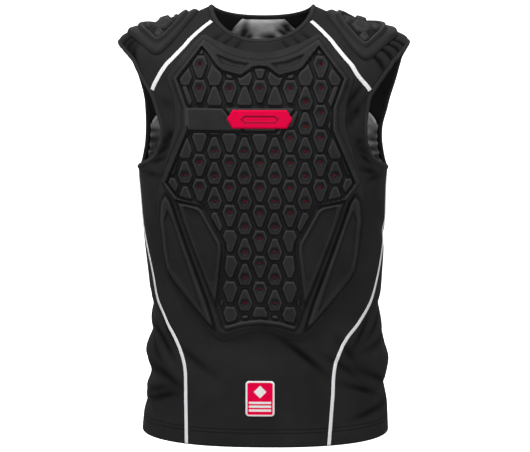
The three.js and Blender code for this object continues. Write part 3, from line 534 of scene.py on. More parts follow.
def crease_depth(u, z, folds):
    """How far the cloth is pushed in: the sum of each depth times its groove, on the crease's own side."""
    turn = np.abs((u + 1.5 * np.pi) % (2 * np.pi) - np.pi)
    left = np.cos(u) >= 0
    depth = np.zeros(np.shape(u))
    for side, middle, level, tilt, length, width, deepest in folds:
        across = (turn - np.radians(middle)) * FOLD_RADIUS
        depth += np.where(left == (side > 0), deepest * groove(across, z - level, tilt, length, width), 0.0)
    return depth


def cloth_point(u, v, height=0.0, folds=BROAD_FOLDS):
    """A point at a height over the creased cloth, in millimetres. Foam bridges the fine creases."""
    point = body_point(u, v)
    return point + body_normal(u, v) * (height - crease_depth(u, point[..., 2], folds))[..., None]


def place_at(x, z, back=False):
    """The u and v of the body behind a point of the front view, by halving the range of v."""
    low, high = np.zeros(np.shape(x)), np.ones(np.shape(x))
    for _ in range(24):
        v = (low + high) / 2
        half = np.where(x < 0, section_value("right", v), section_value("left", v))
        share = np.minimum(np.abs(x) / half, 1)
        u = np.arccos(share ** (section_value("square", v) / 2))
        above = np.where(share >= 1, v > 0.8, body_point(u if back else -u, v)[..., 2] > z)
        high, low = np.where(above, v, high), np.where(above, low, v)
    turn = u if back else -u
    return np.where(x < 0, np.pi - turn, turn), (low + high) / 2


def on_front(x, z, height):
    """A point of the front view, lifted off the cloth; its place moves back by what the lift adds to it."""
    lift = body_normal(*place_at(x, z)) * np.asarray(height)[..., None]
    u, v = place_at(x - lift[..., 0], z - lift[..., 2])
    return cloth_point(u, v, height)


print("middle of the chest", on_front(np.zeros(1), np.full(1, -200.0), 0.0).round(1))

# %% [markdown]
# ## Seams and edges
# The panels meet on seams: two curved side seams from the hem to the armpit, and raglan seams from the
# armhole to the neck. Each seam is a smooth curve through a few places that were read off the front view.

# %% Places on the seams
SIDE_SEAM_FRONT = [
    # left, right, z
    (100, 108, -637), (105, 109, -568), (108.5, 111, -520), (124, 125, -483), (145, 141, -458),
    (162, 153, -428), (173, 161, -385), (179, 170, -346), (182, 176, -310), (184, 182, -240),
]
SIDE_SEAM_BACK = [
    # left, right, z
    (122, 122, -637), (122, 122, -568), (127, 126, -520), (140, 138, -470), (158, 153, -420),
    (171, 165, -370), (180, 175, -310), (184, 182, -240),
]
ARMHOLE_FRONT = [
    # left, right, z
    (184, 182, -240), (164, 159, -225), (151, 144, -203), (147, 138, -177), (149, 145, -150),
    (156, 155, -123), (179, 175, -91), (197, 190, -69),
]
ARMHOLE_TOP = 0.88
ARMHOLE_BACK = [
    # left, right, z
    (208, 199, -68), (202, 191, -87), (194, 182, -118), (185, 176, -150), (177, 175, -183), (178, 177, -215),
    (184, 182, -240),
]
RAGLAN_FRONT_AT, RAGLAN_BACK_AT = 5, 13
RAGLAN_FRONT = [(138, 144, -100), (123, 128, -79), (106, 109, -59), (87, 89, -38)]
RAGLAN_BACK = [(140, 140, -141), (100, 100, -92), (62, 62, -48)]
RAGLAN_FRONT_NECK, RAGLAN_BACK_NECK = -0.5, 1.16
print("places on an armhole", len(ARMHOLE_FRONT) + 1 + len(ARMHOLE_BACK))

# %% Lines through the places


def smooth_line(points, per_span, closed=False):
    """A curve through points: on each span a cubic whose end slopes are half the step between neighbours."""
    p = np.asarray(points, float)
    ends = (p[-1:], p[:2]) if closed else (2 * p[:1] - p[1:2], 2 * p[-1:] - p[-2:-1])
    q = np.concatenate([ends[0], p, ends[1]])
    t = np.linspace(0, 1, per_span, endpoint=False)[:, None]
    a, b, c, d = q[:-3, None], q[1:-2, None], q[2:-1, None], q[3:, None]
    spans = 0.5 * (2 * b + (c - a) * t + (2 * a - 5 * b + 4 * c - d) * t**2 + (3 * b - a - 3 * c + d) * t**3)
    line = spans.reshape(-1, p.shape[1])
    return line if closed else np.concatenate([line, p[-1:]])


def even_line(line, count):
    """The same line with points at even steps of its length."""
    step = np.linalg.norm(np.diff(line, axis=0), axis=1)
    along = np.concatenate([[0], np.cumsum(step)])
    at = np.linspace(0, along[-1], count)
    return np.stack([np.interp(at, along, line[:, i]) for i in range(line.shape[1])], axis=1)


ARMHOLE_STEPS, SEAM_STEPS, RAGLAN_STEPS = 14, 20, 12


def edges_of(side):
    """The seams and edges of one side as lines of places, each a pair of u and v."""
    sign, column = (1, 0) if side == "left" else (-1, 1)

    def turned(u):
        return u if side == "left" else np.pi - u

    def places(rows, back=False):
        table = np.array(rows, float)
        return np.stack(place_at(sign * table[:, column], table[:, 2], back), axis=1)

    top = [(turned(0.0), ARMHOLE_TOP)]
    corners = np.concatenate([places(ARMHOLE_FRONT), top, places(ARMHOLE_BACK, True)])
    armhole = smooth_line(corners, ARMHOLE_STEPS, closed=True)
    front_end, back_end = RAGLAN_FRONT_AT * ARMHOLE_STEPS, RAGLAN_BACK_AT * ARMHOLE_STEPS
    neck_front, neck_back = (turned(RAGLAN_FRONT_NECK), 1.0), (turned(RAGLAN_BACK_NECK), 1.0)
    return {
        "armhole": armhole,
        "armhole_front": armhole[: front_end + 1],
        "armhole_top": armhole[front_end : back_end + 1],
        "armhole_back": armhole[back_end : (len(corners) - 1) * ARMHOLE_STEPS + 1],
        "seam_front": smooth_line(places(SIDE_SEAM_FRONT), SEAM_STEPS),
        "seam_back": smooth_line(places(SIDE_SEAM_BACK, True), SEAM_STEPS),
        "raglan_front": smooth_line(
            [corners[RAGLAN_FRONT_AT], *places(RAGLAN_FRONT), neck_front], RAGLAN_STEPS),
        "raglan_back": smooth_line(
            [corners[RAGLAN_BACK_AT], *places(RAGLAN_BACK, True), neck_back], RAGLAN_STEPS),
    }


EDGES = {side: edges_of(side) for side in ("left", "right")}
print("armhole points", {side: len(lines["armhole"]) for side, lines in EDGES.items()})

# %% [markdown]
# ## Shirt panels
# A panel is a grid of places between its seams, so neighbours meet along the seam lines, a hair apart.
# Solidify then gives the cloth its thickness inwards.

# %% Sheets of cloth
CLOTH, SEAM_GAP = 2.0, 0.3
CREASE_SHADE, DARKEST_CREASE = 0.46, 0.8


def dress(piece, node, slot, material):
    """The piece takes the node's place on the frame and gets its finish; the slot is not used."""
    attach(piece, "root")
    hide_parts(node)
    piece.data.materials.append(material)
    return piece


def note(piece, name, values):
    """Values at the first points of a mesh, kept on it for its finish; the other points get zeros."""
    attribute = piece.data.attributes.new(name, "FLOAT", "POINT")
    whole = np.zeros(len(piece.data.vertices), np.float32)
    whole[: len(values)] = values
    attribute.data.foreach_set("value", whole)


def sheet_of(name, u, v, slot, material, height=0.0, thick=CLOTH, painted_shade=None):
    """A cloth sheet over a grid of places, with painted shade in its creases: given per point, or else
    worked out from the fine creases."""
    points = cloth_point(u, v, height, FOLDS)
    rows, columns = u.shape
    faces = grid_faces(rows, columns)
    a, b, c = (points.reshape(-1, 3)[faces[:, i]] for i in (0, 1, 2))
    way = np.cross(b - a, c - a)
    outward = body_normal(u, v).reshape(-1, 3)[faces[:, 0]]
    if (way * outward).sum() < 0:
        faces = faces[:, ::-1]
    piece = dress(make_mesh(name, points.reshape(-1, 3), faces), name, slot, material)
    # painted shade in the fine creases, unless the caller gives its own painted shade
    if painted_shade is None:
        painted_shade = np.clip(crease_depth(u, points[..., 2], FINE_FOLDS) * CREASE_SHADE, 0, DARKEST_CREASE)
    note(piece, "painted_shade", painted_shade.ravel())
    wall = piece.modifiers.new("thickness", "SOLIDIFY")
    wall.thickness, wall.offset = thick * MM, -1
    return piece


# %% Front and back panels
ARMPIT_V, SEAM_ROWS = SECTION["v"][4], 128
FRONT_COLUMNS, BACK_COLUMNS = 171, 111
FRONT_STEPS, BACK_STEPS = (34, 26), (18, 40)
seam_v = np.linspace(0, ARMPIT_V, SEAM_ROWS)


def middle_panel(right, left, middle, columns):
    """Rows across the middle of the body, from the edge on the wearer's right to the edge on the left."""
    s = np.linspace(-1, 1, columns)[None, :]
    inset = SEAM_GAP / 2 / FOLD_RADIUS
    right_reach, left_reach = (np.abs(middle - edge[:, :1]) - inset for edge in (right, left))
    away = np.sign(left[0, 0] - middle)
    u = middle + away * s * np.where(s < 0, right_reach, left_reach)
    return u, right[:, 1:] + (left[:, 1:] - right[:, 1:]) * (s + 1) / 2


def climbing(line):
    """A seam line at the even steps of v that all the panels share."""
    return np.stack([np.interp(seam_v, line[:, 1], line[:, 0]), seam_v], axis=1)


def panel_edge(seam, armhole_part, raglan, counts):
    """The whole edge of a front or back panel: side seam, armhole and raglan seam."""
    parts = (even_line(line, count)[1:] for line, count in zip((armhole_part, raglan), counts))
    return np.concatenate([climbing(seam), *parts])


front_edges = {side: panel_edge(e["seam_front"], e["armhole_front"], e["raglan_front"], FRONT_STEPS)
               for side, e in EDGES.items()}
back_edges = {side: panel_edge(e["seam_back"], e["armhole_back"][::-1], e["raglan_back"], BACK_STEPS)
              for side, e in EDGES.items()}
front_right = front_edges["right"] - (2 * np.pi, 0)
front_grid = middle_panel(front_right, front_edges["left"], -np.pi / 2, FRONT_COLUMNS)
back_grid = middle_panel(back_edges["right"], back_edges["left"], np.pi / 2, BACK_COLUMNS)
sheet_of("front_panel", *front_grid, "knit", shirt_knit)
sheet_of("back_panel", *back_grid, "knit", shirt_knit)

# %% [markdown]
# ## Lining
# A loose mesh lining hangs inside the back and shows through the neck and the armholes. It uses the upper
# rows of the back panel's own grid, so it follows the panel. Its wrinkles are bells that stand inwards.
# Painted shade on their flanks, where the mesh turns away, and on the outer parts towards the armholes is
# kept as an attribute.

# %% Lining
LINING_FROM = 0.36
lined = back_edges["left"][:, 1] > LINING_FROM
lining_u, lining_v = (values[lined] for values in back_grid)
LINING_GAP, LINING_THICK = 0.9, 1.0
NECK_WRINKLES = [
    # turn from the middle of the back in degrees, height, tilt, length, width, depth
    (-14, -58, 58, 30, 5, 5.0), (-4, -62, 66, 34, 4, 4.5), (6, -50, -52, 30, 5, 5.0),
    (14, -66, 48, 26, 4, 4.0), (22, -52, -60, 24, 5, 4.0), (-24, -50, 40, 26, 5, 4.0),
    (0, -84, 12, 40, 6, 4.0),
]
ARMHOLE_WRINKLES = [
    # the same columns, for both sides
    (58, -128, 50, 26, 5, 4.0), (66, -191, 14, 22, 3.6, 3.0), (68, -204, 6, 22, 3.6, 3.6),
    (70, -216, -6, 22, 3.6, 3.6), (72, -228, -16, 22, 3.6, 3.6),
]
WRINKLES = NECK_WRINKLES + [(way * turn, *rest) for turn, *rest in ARMHOLE_WRINKLES for way in (1, -1)]
HIGHEST_WRINKLE = 5.0
OUTER_FROM, OUTER_OVER = 62, 25
UPPER_FROM, UPPER_OVER = -172, 20
FLANK_SHADE, FLANK_LESS, OUTER_SHADE, UPPER_SHADE = 4.2, 2.0, 0.45, 0.93


def wrinkle_height(u, v):
    """How far the lining stands in from the back panel: the sum of each wrinkle's depth times its bells."""
    z = body_point(u, v)[..., 2]
    height = np.zeros(np.shape(u))
    for turn, level, tilt, length, width, depth in WRINKLES:
        across = (u - np.pi / 2 + np.radians(turn)) * FOLD_RADIUS / 2
        height -= depth * groove(across, z - level, tilt, length, width)
    return height


wrinkles = wrinkle_height(lining_u, lining_v)
lining_x, _, lining_z = np.moveaxis(body_point(lining_u, lining_v), -1, 0)
outer = np.clip((np.abs(lining_x) - OUTER_FROM) / OUTER_OVER, 0, 1)
upper = np.clip((lining_z - UPPER_FROM) / UPPER_OVER, 0, 1)
rise = np.clip(-wrinkles / HIGHEST_WRINKLE, 0, 1)
# painted shade: dark on the wrinkles' flanks and on the lining's outer parts, darkest on the outer parts
# higher up
lining_painted_shade = (FLANK_SHADE - FLANK_LESS * outer) * rise * (1 - rise) + OUTER_SHADE * outer
lining_painted_shade = np.maximum(lining_painted_shade, UPPER_SHADE * outer * upper)
lining_lift = wrinkles - CLOTH - LINING_GAP
sheet_of("back_lining", lining_u, lining_v, "mesh", lining_mesh, lining_lift, LINING_THICK, lining_painted_shade)

# %% [markdown]
# ## Side and shoulder panels
# A side panel fills the gap between two seams, so its rows run from one seam to the other. A shoulder panel
# has four curved edges. A patch that blends all four follows each neighbour, where a plain grid between two
# of them would miss the other two.

# %% Side and shoulder panels
SIDE_COLUMNS, SHOULDER_GRID = 84, (56, 96)
SHOULDER_INSET, LEAST_SPAN = 0.006, 0.02


def between(first, second, columns):
    """Rows from one edge line to another, drawn in a little at both ends."""
    span = np.maximum(np.abs(second - first).sum(axis=1, keepdims=True), LEAST_SPAN)
    inset = SEAM_GAP / 2 / FOLD_RADIUS / span
    t = inset + np.linspace(0, 1, columns)[None, :] * (1 - 2 * inset)
    return first[:, :1] * (1 - t) + second[:, :1] * t, first[:, 1:] * (1 - t) + second[:, 1:] * t


def shoulder_patch(lines, rows, columns):
    """A patch that blends its four edges: the armhole, the neck and both raglan seams."""
    outer = even_line(lines["armhole_top"], columns)[None]
    front, back = (even_line(lines[name], rows)[:, None] for name in ("raglan_front", "raglan_back"))
    up = np.linspace(SHOULDER_INSET, 1, rows)[:, None, None]
    over = np.linspace(SHOULDER_INSET, 1 - SHOULDER_INSET, columns)[None, :, None]
    neck = front[-1:] * (1 - over) + back[-1:] * over
    sides = front * (1 - over) + back * over
    ends = outer * (1 - up) + neck * up
    low = outer[:, :1] * (1 - over) + outer[:, -1:] * over
    patch = sides + ends - (low * (1 - up) + neck * up)
    return patch[..., 0], patch[..., 1]


for side, lines in EDGES.items():
    seams = between(climbing(lines["seam_front"]), climbing(lines["seam_back"]), SIDE_COLUMNS)
    sheet_of(f"side_panel_{side}", *seams, "knit", shirt_knit)
    sheet_of(f"shoulder_panel_{side}", *shoulder_patch(lines, *SHOULDER_GRID), "knit", shirt_knit)

# %% [markdown]
# ## Bindings, hem and tapes
# A binding is a folded strip, so its section is a rounded bar that is carried round the edge. The hem is the
# cloth turned up inside. The tapes are flat strips with slightly rounded edges, laid over the seams.

# %% Swept trims


def frames_along(line, closed):
    """The point, the cloth's normal and the direction across the line at each of its places."""
    u, v = line[:, 0], line[:, 1]
    point = cloth_point(u, v, 0.0, FOLDS)
    if closed:
        along = np.roll(point, -1, axis=0) - np.roll(point, 1, axis=0)
    else:
        along = np.gradient(point, axis=0)
    normal = body_normal(u, v)
    across = np.cross(normal, along)
    return point, normal, across / np.linalg.norm(across, axis=1, keepdims=True)


def swept(name, line, profile, closed):
    """A profile of (across, out) pairs carried along a line; closed joins the ends, else both are capped."""
    point, normal, across = frames_along(line, closed)
    shape = np.asarray(profile, float)
    ring = point[:, None] + across[:, None] * shape[None, :, :1] + normal[:, None] * shape[None, :, 1:]
    rows, sides = ring.shape[:2]
    points = ring.reshape(-1, 3)
    faces = grid_faces(rows, sides, around=True)
    if closed:
        first = np.arange(sides)
        last = first + (rows - 1) * sides
        joint = np.stack([last, np.roll(last, -1), np.roll(first, -1), first], axis=1)
        faces = np.concatenate([faces, joint])
    else:
        half = sides // 2
        k = np.arange(half - 1)
        start = np.stack([k, sides - 1 - k, sides - 2 - k, k + 1], axis=1)
        faces = np.concatenate([faces, start, start[:, ::-1] + (rows - 1) * sides])
    corner = points[faces]
    volume = np.einsum("ij,ij->i", corner[:, 0], np.cross(corner[:, 1], corner[:, 2])).sum()
    volume += np.einsum("ij,ij->i", corner[:, 0], np.cross(corner[:, 2], corner[:, 3])).sum()
    return make_mesh(name, points, faces if volume > 0 else faces[:, ::-1])


def rounded_bar(low, high, inner, outer, corner, steps=5):
    """A bar's section between two widths and two heights, with quarter-circle corners."""
    centres = np.array([(high - corner, outer - corner), (low + corner, outer - corner),
                        (low + corner, inner + corner), (high - corner, inner + corner)])
    turn = np.linspace(0, np.pi / 2, steps)[None, :] + np.arange(4)[:, None] * np.pi / 2
    corners = centres[:, None] + corner * np.stack([np.cos(turn), np.sin(turn)], axis=-1)
    return corners.reshape(-1, 2)


print("points round a bar", len(rounded_bar(0, 2, 0, 1, 0.4)))

# %% Bindings
BINDING_WIDTH, BINDING_GAP, BINDING_OUT, BINDING_CORNER = 6.6, 0.4, 1.2, 2.1
NECK_STEPS = 260
bar = rounded_bar(BINDING_GAP, BINDING_WIDTH, -CLOTH - BINDING_OUT, BINDING_OUT, BINDING_CORNER)
neck_line = np.stack([np.linspace(0, 2 * np.pi, NECK_STEPS, endpoint=False), np.ones(NECK_STEPS)], axis=1)
dress(swept("neck_binding", neck_line, bar, True), "neck_binding", "knit", binding_knit)
for side, lines in EDGES.items():
    facing = bar * (-1 if side == "left" else 1, 1)
    name = f"armhole_binding_{side}"
    dress(swept(name, lines["armhole"], facing, True), name, "knit", binding_knit)
print("bindings round the neck and", list(EDGES))

# %% Hem and tapes
HEM_TURN, HEM_GAP, HEM_THICK, HEM_GRID = 22.0, 0.4, 1.4, (420, 12)
hem_v = HEM_TURN / (SECTION["z_front"][1] - SECTION["z_front"][0]) * SECTION["v"][1]
hem_u, hem_rise = np.meshgrid(np.linspace(0, 2 * np.pi, HEM_GRID[0]), np.linspace(0.001, hem_v, HEM_GRID[1]))
sheet_of("hem_turn", hem_u, hem_rise, "knit", shirt_knit, -CLOTH - HEM_GAP, HEM_THICK)

TAPE_LIFT, TAPE_THICK, TAPE_CORNER, INNER_TAPE_LIFT = 0.05, 0.95, 0.45, -5.4
TAPE_STEPS = 200
TAPES = [
    # name, line, width, lift, share of the line where it starts, share where it ends
    ("raglan_tape_front", "raglan_front", 6.2, TAPE_LIFT, 0.015, 0.98),
    ("raglan_tape_back", "raglan_back", 6.2, TAPE_LIFT, 0.015, 0.98),
    ("raglan_tape_inner", "raglan_back", 4.2, INNER_TAPE_LIFT, 0.05, 0.6),
    ("side_tape_front", "seam_front", 5.2, TAPE_LIFT, 0.0, 0.99),
    ("side_tape_back", "seam_back", 5.2, TAPE_LIFT, 0.0, 0.99),
]
for side, lines in EDGES.items():
    for name, line, width, lift, start, end in TAPES:
        path = even_line(lines[line], TAPE_STEPS)[int(TAPE_STEPS * start) : int(TAPE_STEPS * end)]
        section = rounded_bar(-width / 2, width / 2, lift, lift + TAPE_THICK, TAPE_CORNER, 3)
        dress(swept(f"{name}_{side}", path, section, False), f"{name}_{side}", "tape", seam_tape)
print("tapes on each side", len(TAPES))

# %% [markdown]
# ## Moulded relief
# The foam pieces come out of a mould, so their relief is a height over the cloth. A height field on a grid
# would show stair steps along slanting edges, so the grid's points are first moved onto the edges. The
# outline is cut by leaving out the cells beyond it and pulling the last points onto the line.

# %% Outline distances


def inside_distance(x, z, outline):
    """Distance to an outline's nearest edge, positive inside; a ray's crossings tell the inside."""
    a = np.asarray(outline, float)
    best = np.full(np.shape(x), np.inf)
    inside = np.zeros(np.shape(x), bool)
    for (ax, az), (bx, bz) in zip(a, np.roll(a, -1, axis=0)):
        ex, ez = bx - ax, bz - az
        t = np.clip(((x - ax) * ex + (z - az) * ez) / (ex * ex + ez * ez), 0, 1)
        best = np.minimum(best, np.hypot(x - ax - t * ex, z - az - t * ez))
        level = ez if ez != 0 else 1.0
        inside ^= ((az > z) != (bz > z)) & (x < ax + ex * (z - az) / level)
    return np.where(inside, best, -best)


def within(outline):
    """The inside distance of one outline, as a function of a point."""
    return lambda x, z: inside_distance(x, z, outline)


def eased(t):
    """A smooth step from 0 to 1."""
    t = np.clip(t, 0, 1)
    return t * t * (3 - 2 * t)


def bell(distance, middle, width):
    """A hump of height 1 where the distance is the middle, fading over the width on both sides."""
    return np.exp(-(((distance - middle) / width) ** 2))


SQUARE = [(-1, -1), (1, -1), (1, 1), (-1, 1)]
print("the middle of a square lies inside by", within(SQUARE)(np.zeros(1), np.zeros(1)))

# %% Points moved onto lines


def slope_of(distance, x, z, step=0.05, flattest=0.3):
    """The step that makes a distance grow by one: its slope, over the square of the slope's size."""
    gx = (distance(x + step, z) - distance(x - step, z)) / (2 * step)
    gz = (distance(x, z + step) - distance(x, z - step)) / (2 * step)
    size = np.maximum(np.hypot(gx, gz), flattest)
    return gx / size**2, gz / size**2


def onto_lines(x, z, distance, levels, reach):
    """Points within reach of a level of a distance are moved onto that level."""
    d = distance(x, z)
    gaps = np.stack([level - d for level in levels])
    nearest = np.take_along_axis(gaps, np.abs(gaps).argmin(axis=0)[None], axis=0)[0]
    near = np.abs(nearest) < reach
    gx, gz = slope_of(distance, x[near], z[near])
    x[near] += gx * nearest[near]
    z[near] += gz * nearest[near]


def trimmed(x, z, step, keep):
    """Which cells and points of a grid lie inside an outline; points on the border are pulled onto it."""
    cells = keep((x[:-1, :-1] + x[1:, 1:]) / 2, (z[:-1, :-1] + z[1:, 1:]) / 2) > 0
    padded = np.pad(cells, 1)
    touching = padded[:-1, :-1].astype(int) + padded[1:, :-1] + padded[:-1, 1:] + padded[1:, 1:]
    rim = (touching > 0) & (touching < 4)
    for _ in range(2):
        gx, gz = slope_of(keep, x[rim], z[rim])
        d = np.clip(keep(x[rim], z[rim]), -step, step)
        x[rim] -= gx * d
        z[rim] -= gz * d
    return cells, touching > 0


print("a step towards the middle of a square", slope_of(within(SQUARE), np.full(1, 0.5), np.zeros(1)))

# %% Moulded pieces


def skirt_of(quads, count):
    """The faces that join the border of a top to its underside, whose points come count places later."""
    edges = np.concatenate([quads[:, [i, (i + 1) % 4]] for i in range(4)])
    code = edges.min(axis=1) * count + edges.max(axis=1)
    _, first, times = np.unique(code, return_index=True, return_counts=True)
    border = edges[first[times == 1]]
    return np.stack([border[:, 1], border[:, 0], border[:, 0] + count, border[:, 1] + count], axis=1)


def moulded(name, box, step, keep, relief, lay, lines=None, levels=(0.0,)):
    """A closed moulded piece and its points: a grid moved onto its edges, trimmed, raised by the relief and
    laid on the body, with an underside that follows the body and a skirt between the two."""
    x, z = np.meshgrid(*(np.arange(*ends, step) for ends in box))
    if lines is not None:
        onto_lines(x, z, lines, levels, 0.5 * step)
    cells, used = trimmed(x, z, step, keep)
    number = np.full(x.shape, -1)
    number[used] = np.arange(used.sum())
    quads = np.stack([number[:-1, :-1], number[:-1, 1:], number[1:, 1:], number[1:, :-1]], axis=-1)[cells]
    x, z = x[used], z[used]
    height = relief(x, z)
    top, bottom = lay(x, z, height), lay(x, z, np.zeros(height.shape))
    faces = np.concatenate([quads, quads[:, ::-1] + len(top), skirt_of(quads, len(top))])
    corner = top[quads]
    way = np.cross(corner[:, 1] - corner[:, 0], corner[:, 2] - corner[:, 0]).sum(axis=0)
    out = (lay(x, z, height + 1.0) - top).sum(axis=0)
    if way @ out < 0:
        faces = faces[:, ::-1]
    piece = make_mesh(name, np.concatenate([top, bottom]), faces)
    print(name, len(faces), "faces")
    return piece, x, z


def lifted(lift):
    """A way to lay points on the front of the body, at a lift over the cloth."""
    return lambda x, z, height: on_front(x, z, lift + height)


print("a point 10 off the cloth", lifted(10.0)(np.zeros(1), np.full(1, -200.0), np.zeros(1)).round(1))

# %% [markdown]
# ## Chest plate
# One moulding carries the whole chest. A soft flange thins out to the edge, a rim stands round the field,
# and the field's floor holds six-sided pads whose points interlock: every other column stands on its head.
# Pads that meet the rim are cut short by it. The rows come closer together higher up, where the chest leans
# back. The relief is a height made of distances to outlines, which keeps every wall equally steep.

# %% Chest plate outlines
PLATE_HALF = [
    (0, -68), (27, -64), (53, -56), (70, -48), (80, -43), (89, -47), (104, -63), (118, -80), (130, -98),
    (132, -106), (124, -132), (121, -150), (121, -172), (129, -200), (144, -251), (148, -277), (149, -308),
    (145, -356), (140, -384), (130, -400), (104, -430), (80, -460), (68, -473), (54, -480), (34, -475),
    (16, -468), (0, -466),
]
FIELD_HALF = [
    (0, -86), (10, -87), (27, -99), (53, -92), (60, -87), (82.5, -58), (117.5, -104), (103, -144),
    (102.5, -176), (135.5, -252), (119, -273), (84, -280), (51, -337), (50, -348), (60, -427), (50, -457),
    (27, -450), (0, -446.5),
]
RIM_HALF = [
    (0, -79), (27, -76), (53, -67), (70, -57), (82.5, -50), (125, -104), (110, -144), (110, -174),
    (143, -252), (121, -280), (60, -330), (58, -420), (62, -440), (50, -465), (27, -458), (0, -455),
]
COLLAR_POCKET = [(15, -82), (24, -89), (53, -83), (64, -68), (55, -72), (38, -79)]
BAND = [(-104, -144), (-53, -144), (-23, -176), (-103, -176)]
BADGE_ZONE = [(-51, -143.5), (51, -143.5), (21, -176.5), (-21, -176.5)]
INNER_RIB = [
    (119, -279), (88, -284), (81, -289), (55, -336), (54, -347), (63, -424), (62, -432), (54, -458),
    (66, -423), (93, -353), (108, -313),
]
OUTER_RIB = [
    (136, -270), (143, -281), (145, -308), (140.5, -355), (136, -379), (127, -394), (102, -424), (76, -454),
    (66, -463), (79, -421), (102, -358), (118, -313), (129, -280),
]


def both_halves(half):
    """A whole outline from its right half."""
    return np.array([*half, *((-x, z) for x, z in half[::-1] if x != 0)], float)


plate_line = smooth_line(both_halves(PLATE_HALF), 3, closed=True)
field_line, rim_line = both_halves(FIELD_HALF), both_halves(RIM_HALF)
print("plate outline points", len(plate_line))

# %% Pads and holes
COLUMN_PITCH, ROW_FIRST, ROW_PITCH, ROW_CLOSING, ODD_SHIFT = 21.3, -402.8, 37.6, 0.229, -0.55
PAD_BLUNT, PAD_WIDE, PAD_TIP, PAD_UP, PAD_DOWN = 6.8, 11.4, 3.6, 12.0, 20.8
PAD_ROWS = np.arange(-1, 11)
GROOVE, HOLE_RADIUS = 2.6, 2.9
FAR_OUTSIDE = -50.0
HOLES = [
    # columns, first row, last row
    ((0,), 0, 5), ((0, -2, 2, -4, 4), 8, 8), ((-1, 1), 0, 6), ((-2, 2), 3, 5), ((-3, 3), 4, 6),
    ((-4, 4), 4, 5), ((-4, 4), 9, 9), ((-5, 5), 5, 5), ((2,), 6, 6), ((3,), 7, 8), ((4,), 6, 7),
]


def row_height(row):
    """The height of a row of pads: even steps that shorten a little with each row up."""
    return ROW_FIRST + ROW_PITCH * row - ROW_CLOSING * row * row


def pad_distance(x, z):
    """Inside distance of the nearest pad: the least of its distances to six straight edges."""
    best = np.full(np.shape(x), FAR_OUTSIDE)
    shape = np.array([(PAD_BLUNT, PAD_UP), (PAD_WIDE, 0.0), (PAD_TIP, -PAD_DOWN)])
    edge = np.diff(shape, axis=0)
    normal = np.stack([-edge[:, 1], edge[:, 0]], axis=1) / np.linalg.norm(edge, axis=1, keepdims=True)
    near = np.round(x / COLUMN_PITCH)
    for column in (near - 1, near, near + 1):
        odd = column % 2 != 0
        across = np.abs(x - column * COLUMN_PITCH)
        for row in PAD_ROWS:
            up = (z - row_height(row + np.where(odd, ODD_SHIFT, 0.0))) * np.where(odd, -1, 1)
            sides = [
                -(across - corner[0]) * facing[0] - (up - corner[1]) * facing[1]
                for corner, facing in zip(shape, normal)
            ]
            best = np.maximum(best, np.minimum.reduce([*sides, PAD_UP - up, PAD_DOWN + up]))
    return best


hole_centres = np.array([
    (column * COLUMN_PITCH, row_height(row + (ODD_SHIFT if column % 2 else 0.0)))
    for columns, first, last in HOLES for column in columns for row in range(first, last + 1)
])


def hole_distance(x, z):
    """How far a point is from the rim of the nearest hole, positive outside the hole."""
    best = np.full(np.shape(x), np.inf)
    for cx, cz in hole_centres:
        best = np.minimum(best, np.hypot(x - cx, z - cz))
    return best - HOLE_RADIUS


print("holes", len(hole_centres))

# %% Chest plate relief
PLATE_LIFT = 1.2
FLOOR, PAD_TOP, RIM_TOP, WALL = 3.2, 9.0, 9.8, 1.4
FLANGE_EDGE, FLANGE, FLANGE_CLIMB = 0.7, 4.6, 13
RIM_CLIMB, RIM_GROOVE, POCKET_DROP, BAND_GROOVE = 2.4, 1.9, 3.4, 1.4
RIB_SEAT, RIB_ROOM = 3.6, 2.0
RECESS, RECESS_SLANT, RECESS_DROP, HOLE_DROP = 6.4, 0.87, 1.3, 0.8


def both_sides(x, z, outline):
    """Inside distance to an outline or to its mirror image."""
    return inside_distance(np.abs(x), z, outline)


def raised_distance(x, z):
    """Inside distance of all that stands up from the field's floor: rim, band, badge seat and pads."""
    field = inside_distance(x, z, field_line)
    band = np.maximum(inside_distance(x, z, BAND), inside_distance(x, z, BADGE_ZONE))
    pads = np.minimum.reduce([pad_distance(x, z), field - GROOVE, -band - GROOVE])
    return np.maximum.reduce([pads, -field, band])


def plate_keep(x, z):
    """Inside distance of the plate with its holes taken out."""
    return np.minimum(inside_distance(x, z, plate_line), hole_distance(x, z))


def recess_distance(x, z):
    """Inside distance of the six-sided recess round the nearest hole, which is flat above and below."""
    best = np.full(np.shape(x), FAR_OUTSIDE)
    for cx, cz in hole_centres:
        dx, dz = np.abs(x - cx), np.abs(z - cz)
        best = np.maximum(best, RECESS - np.maximum(dz, RECESS_SLANT * dx + 0.5 * dz))
    return best


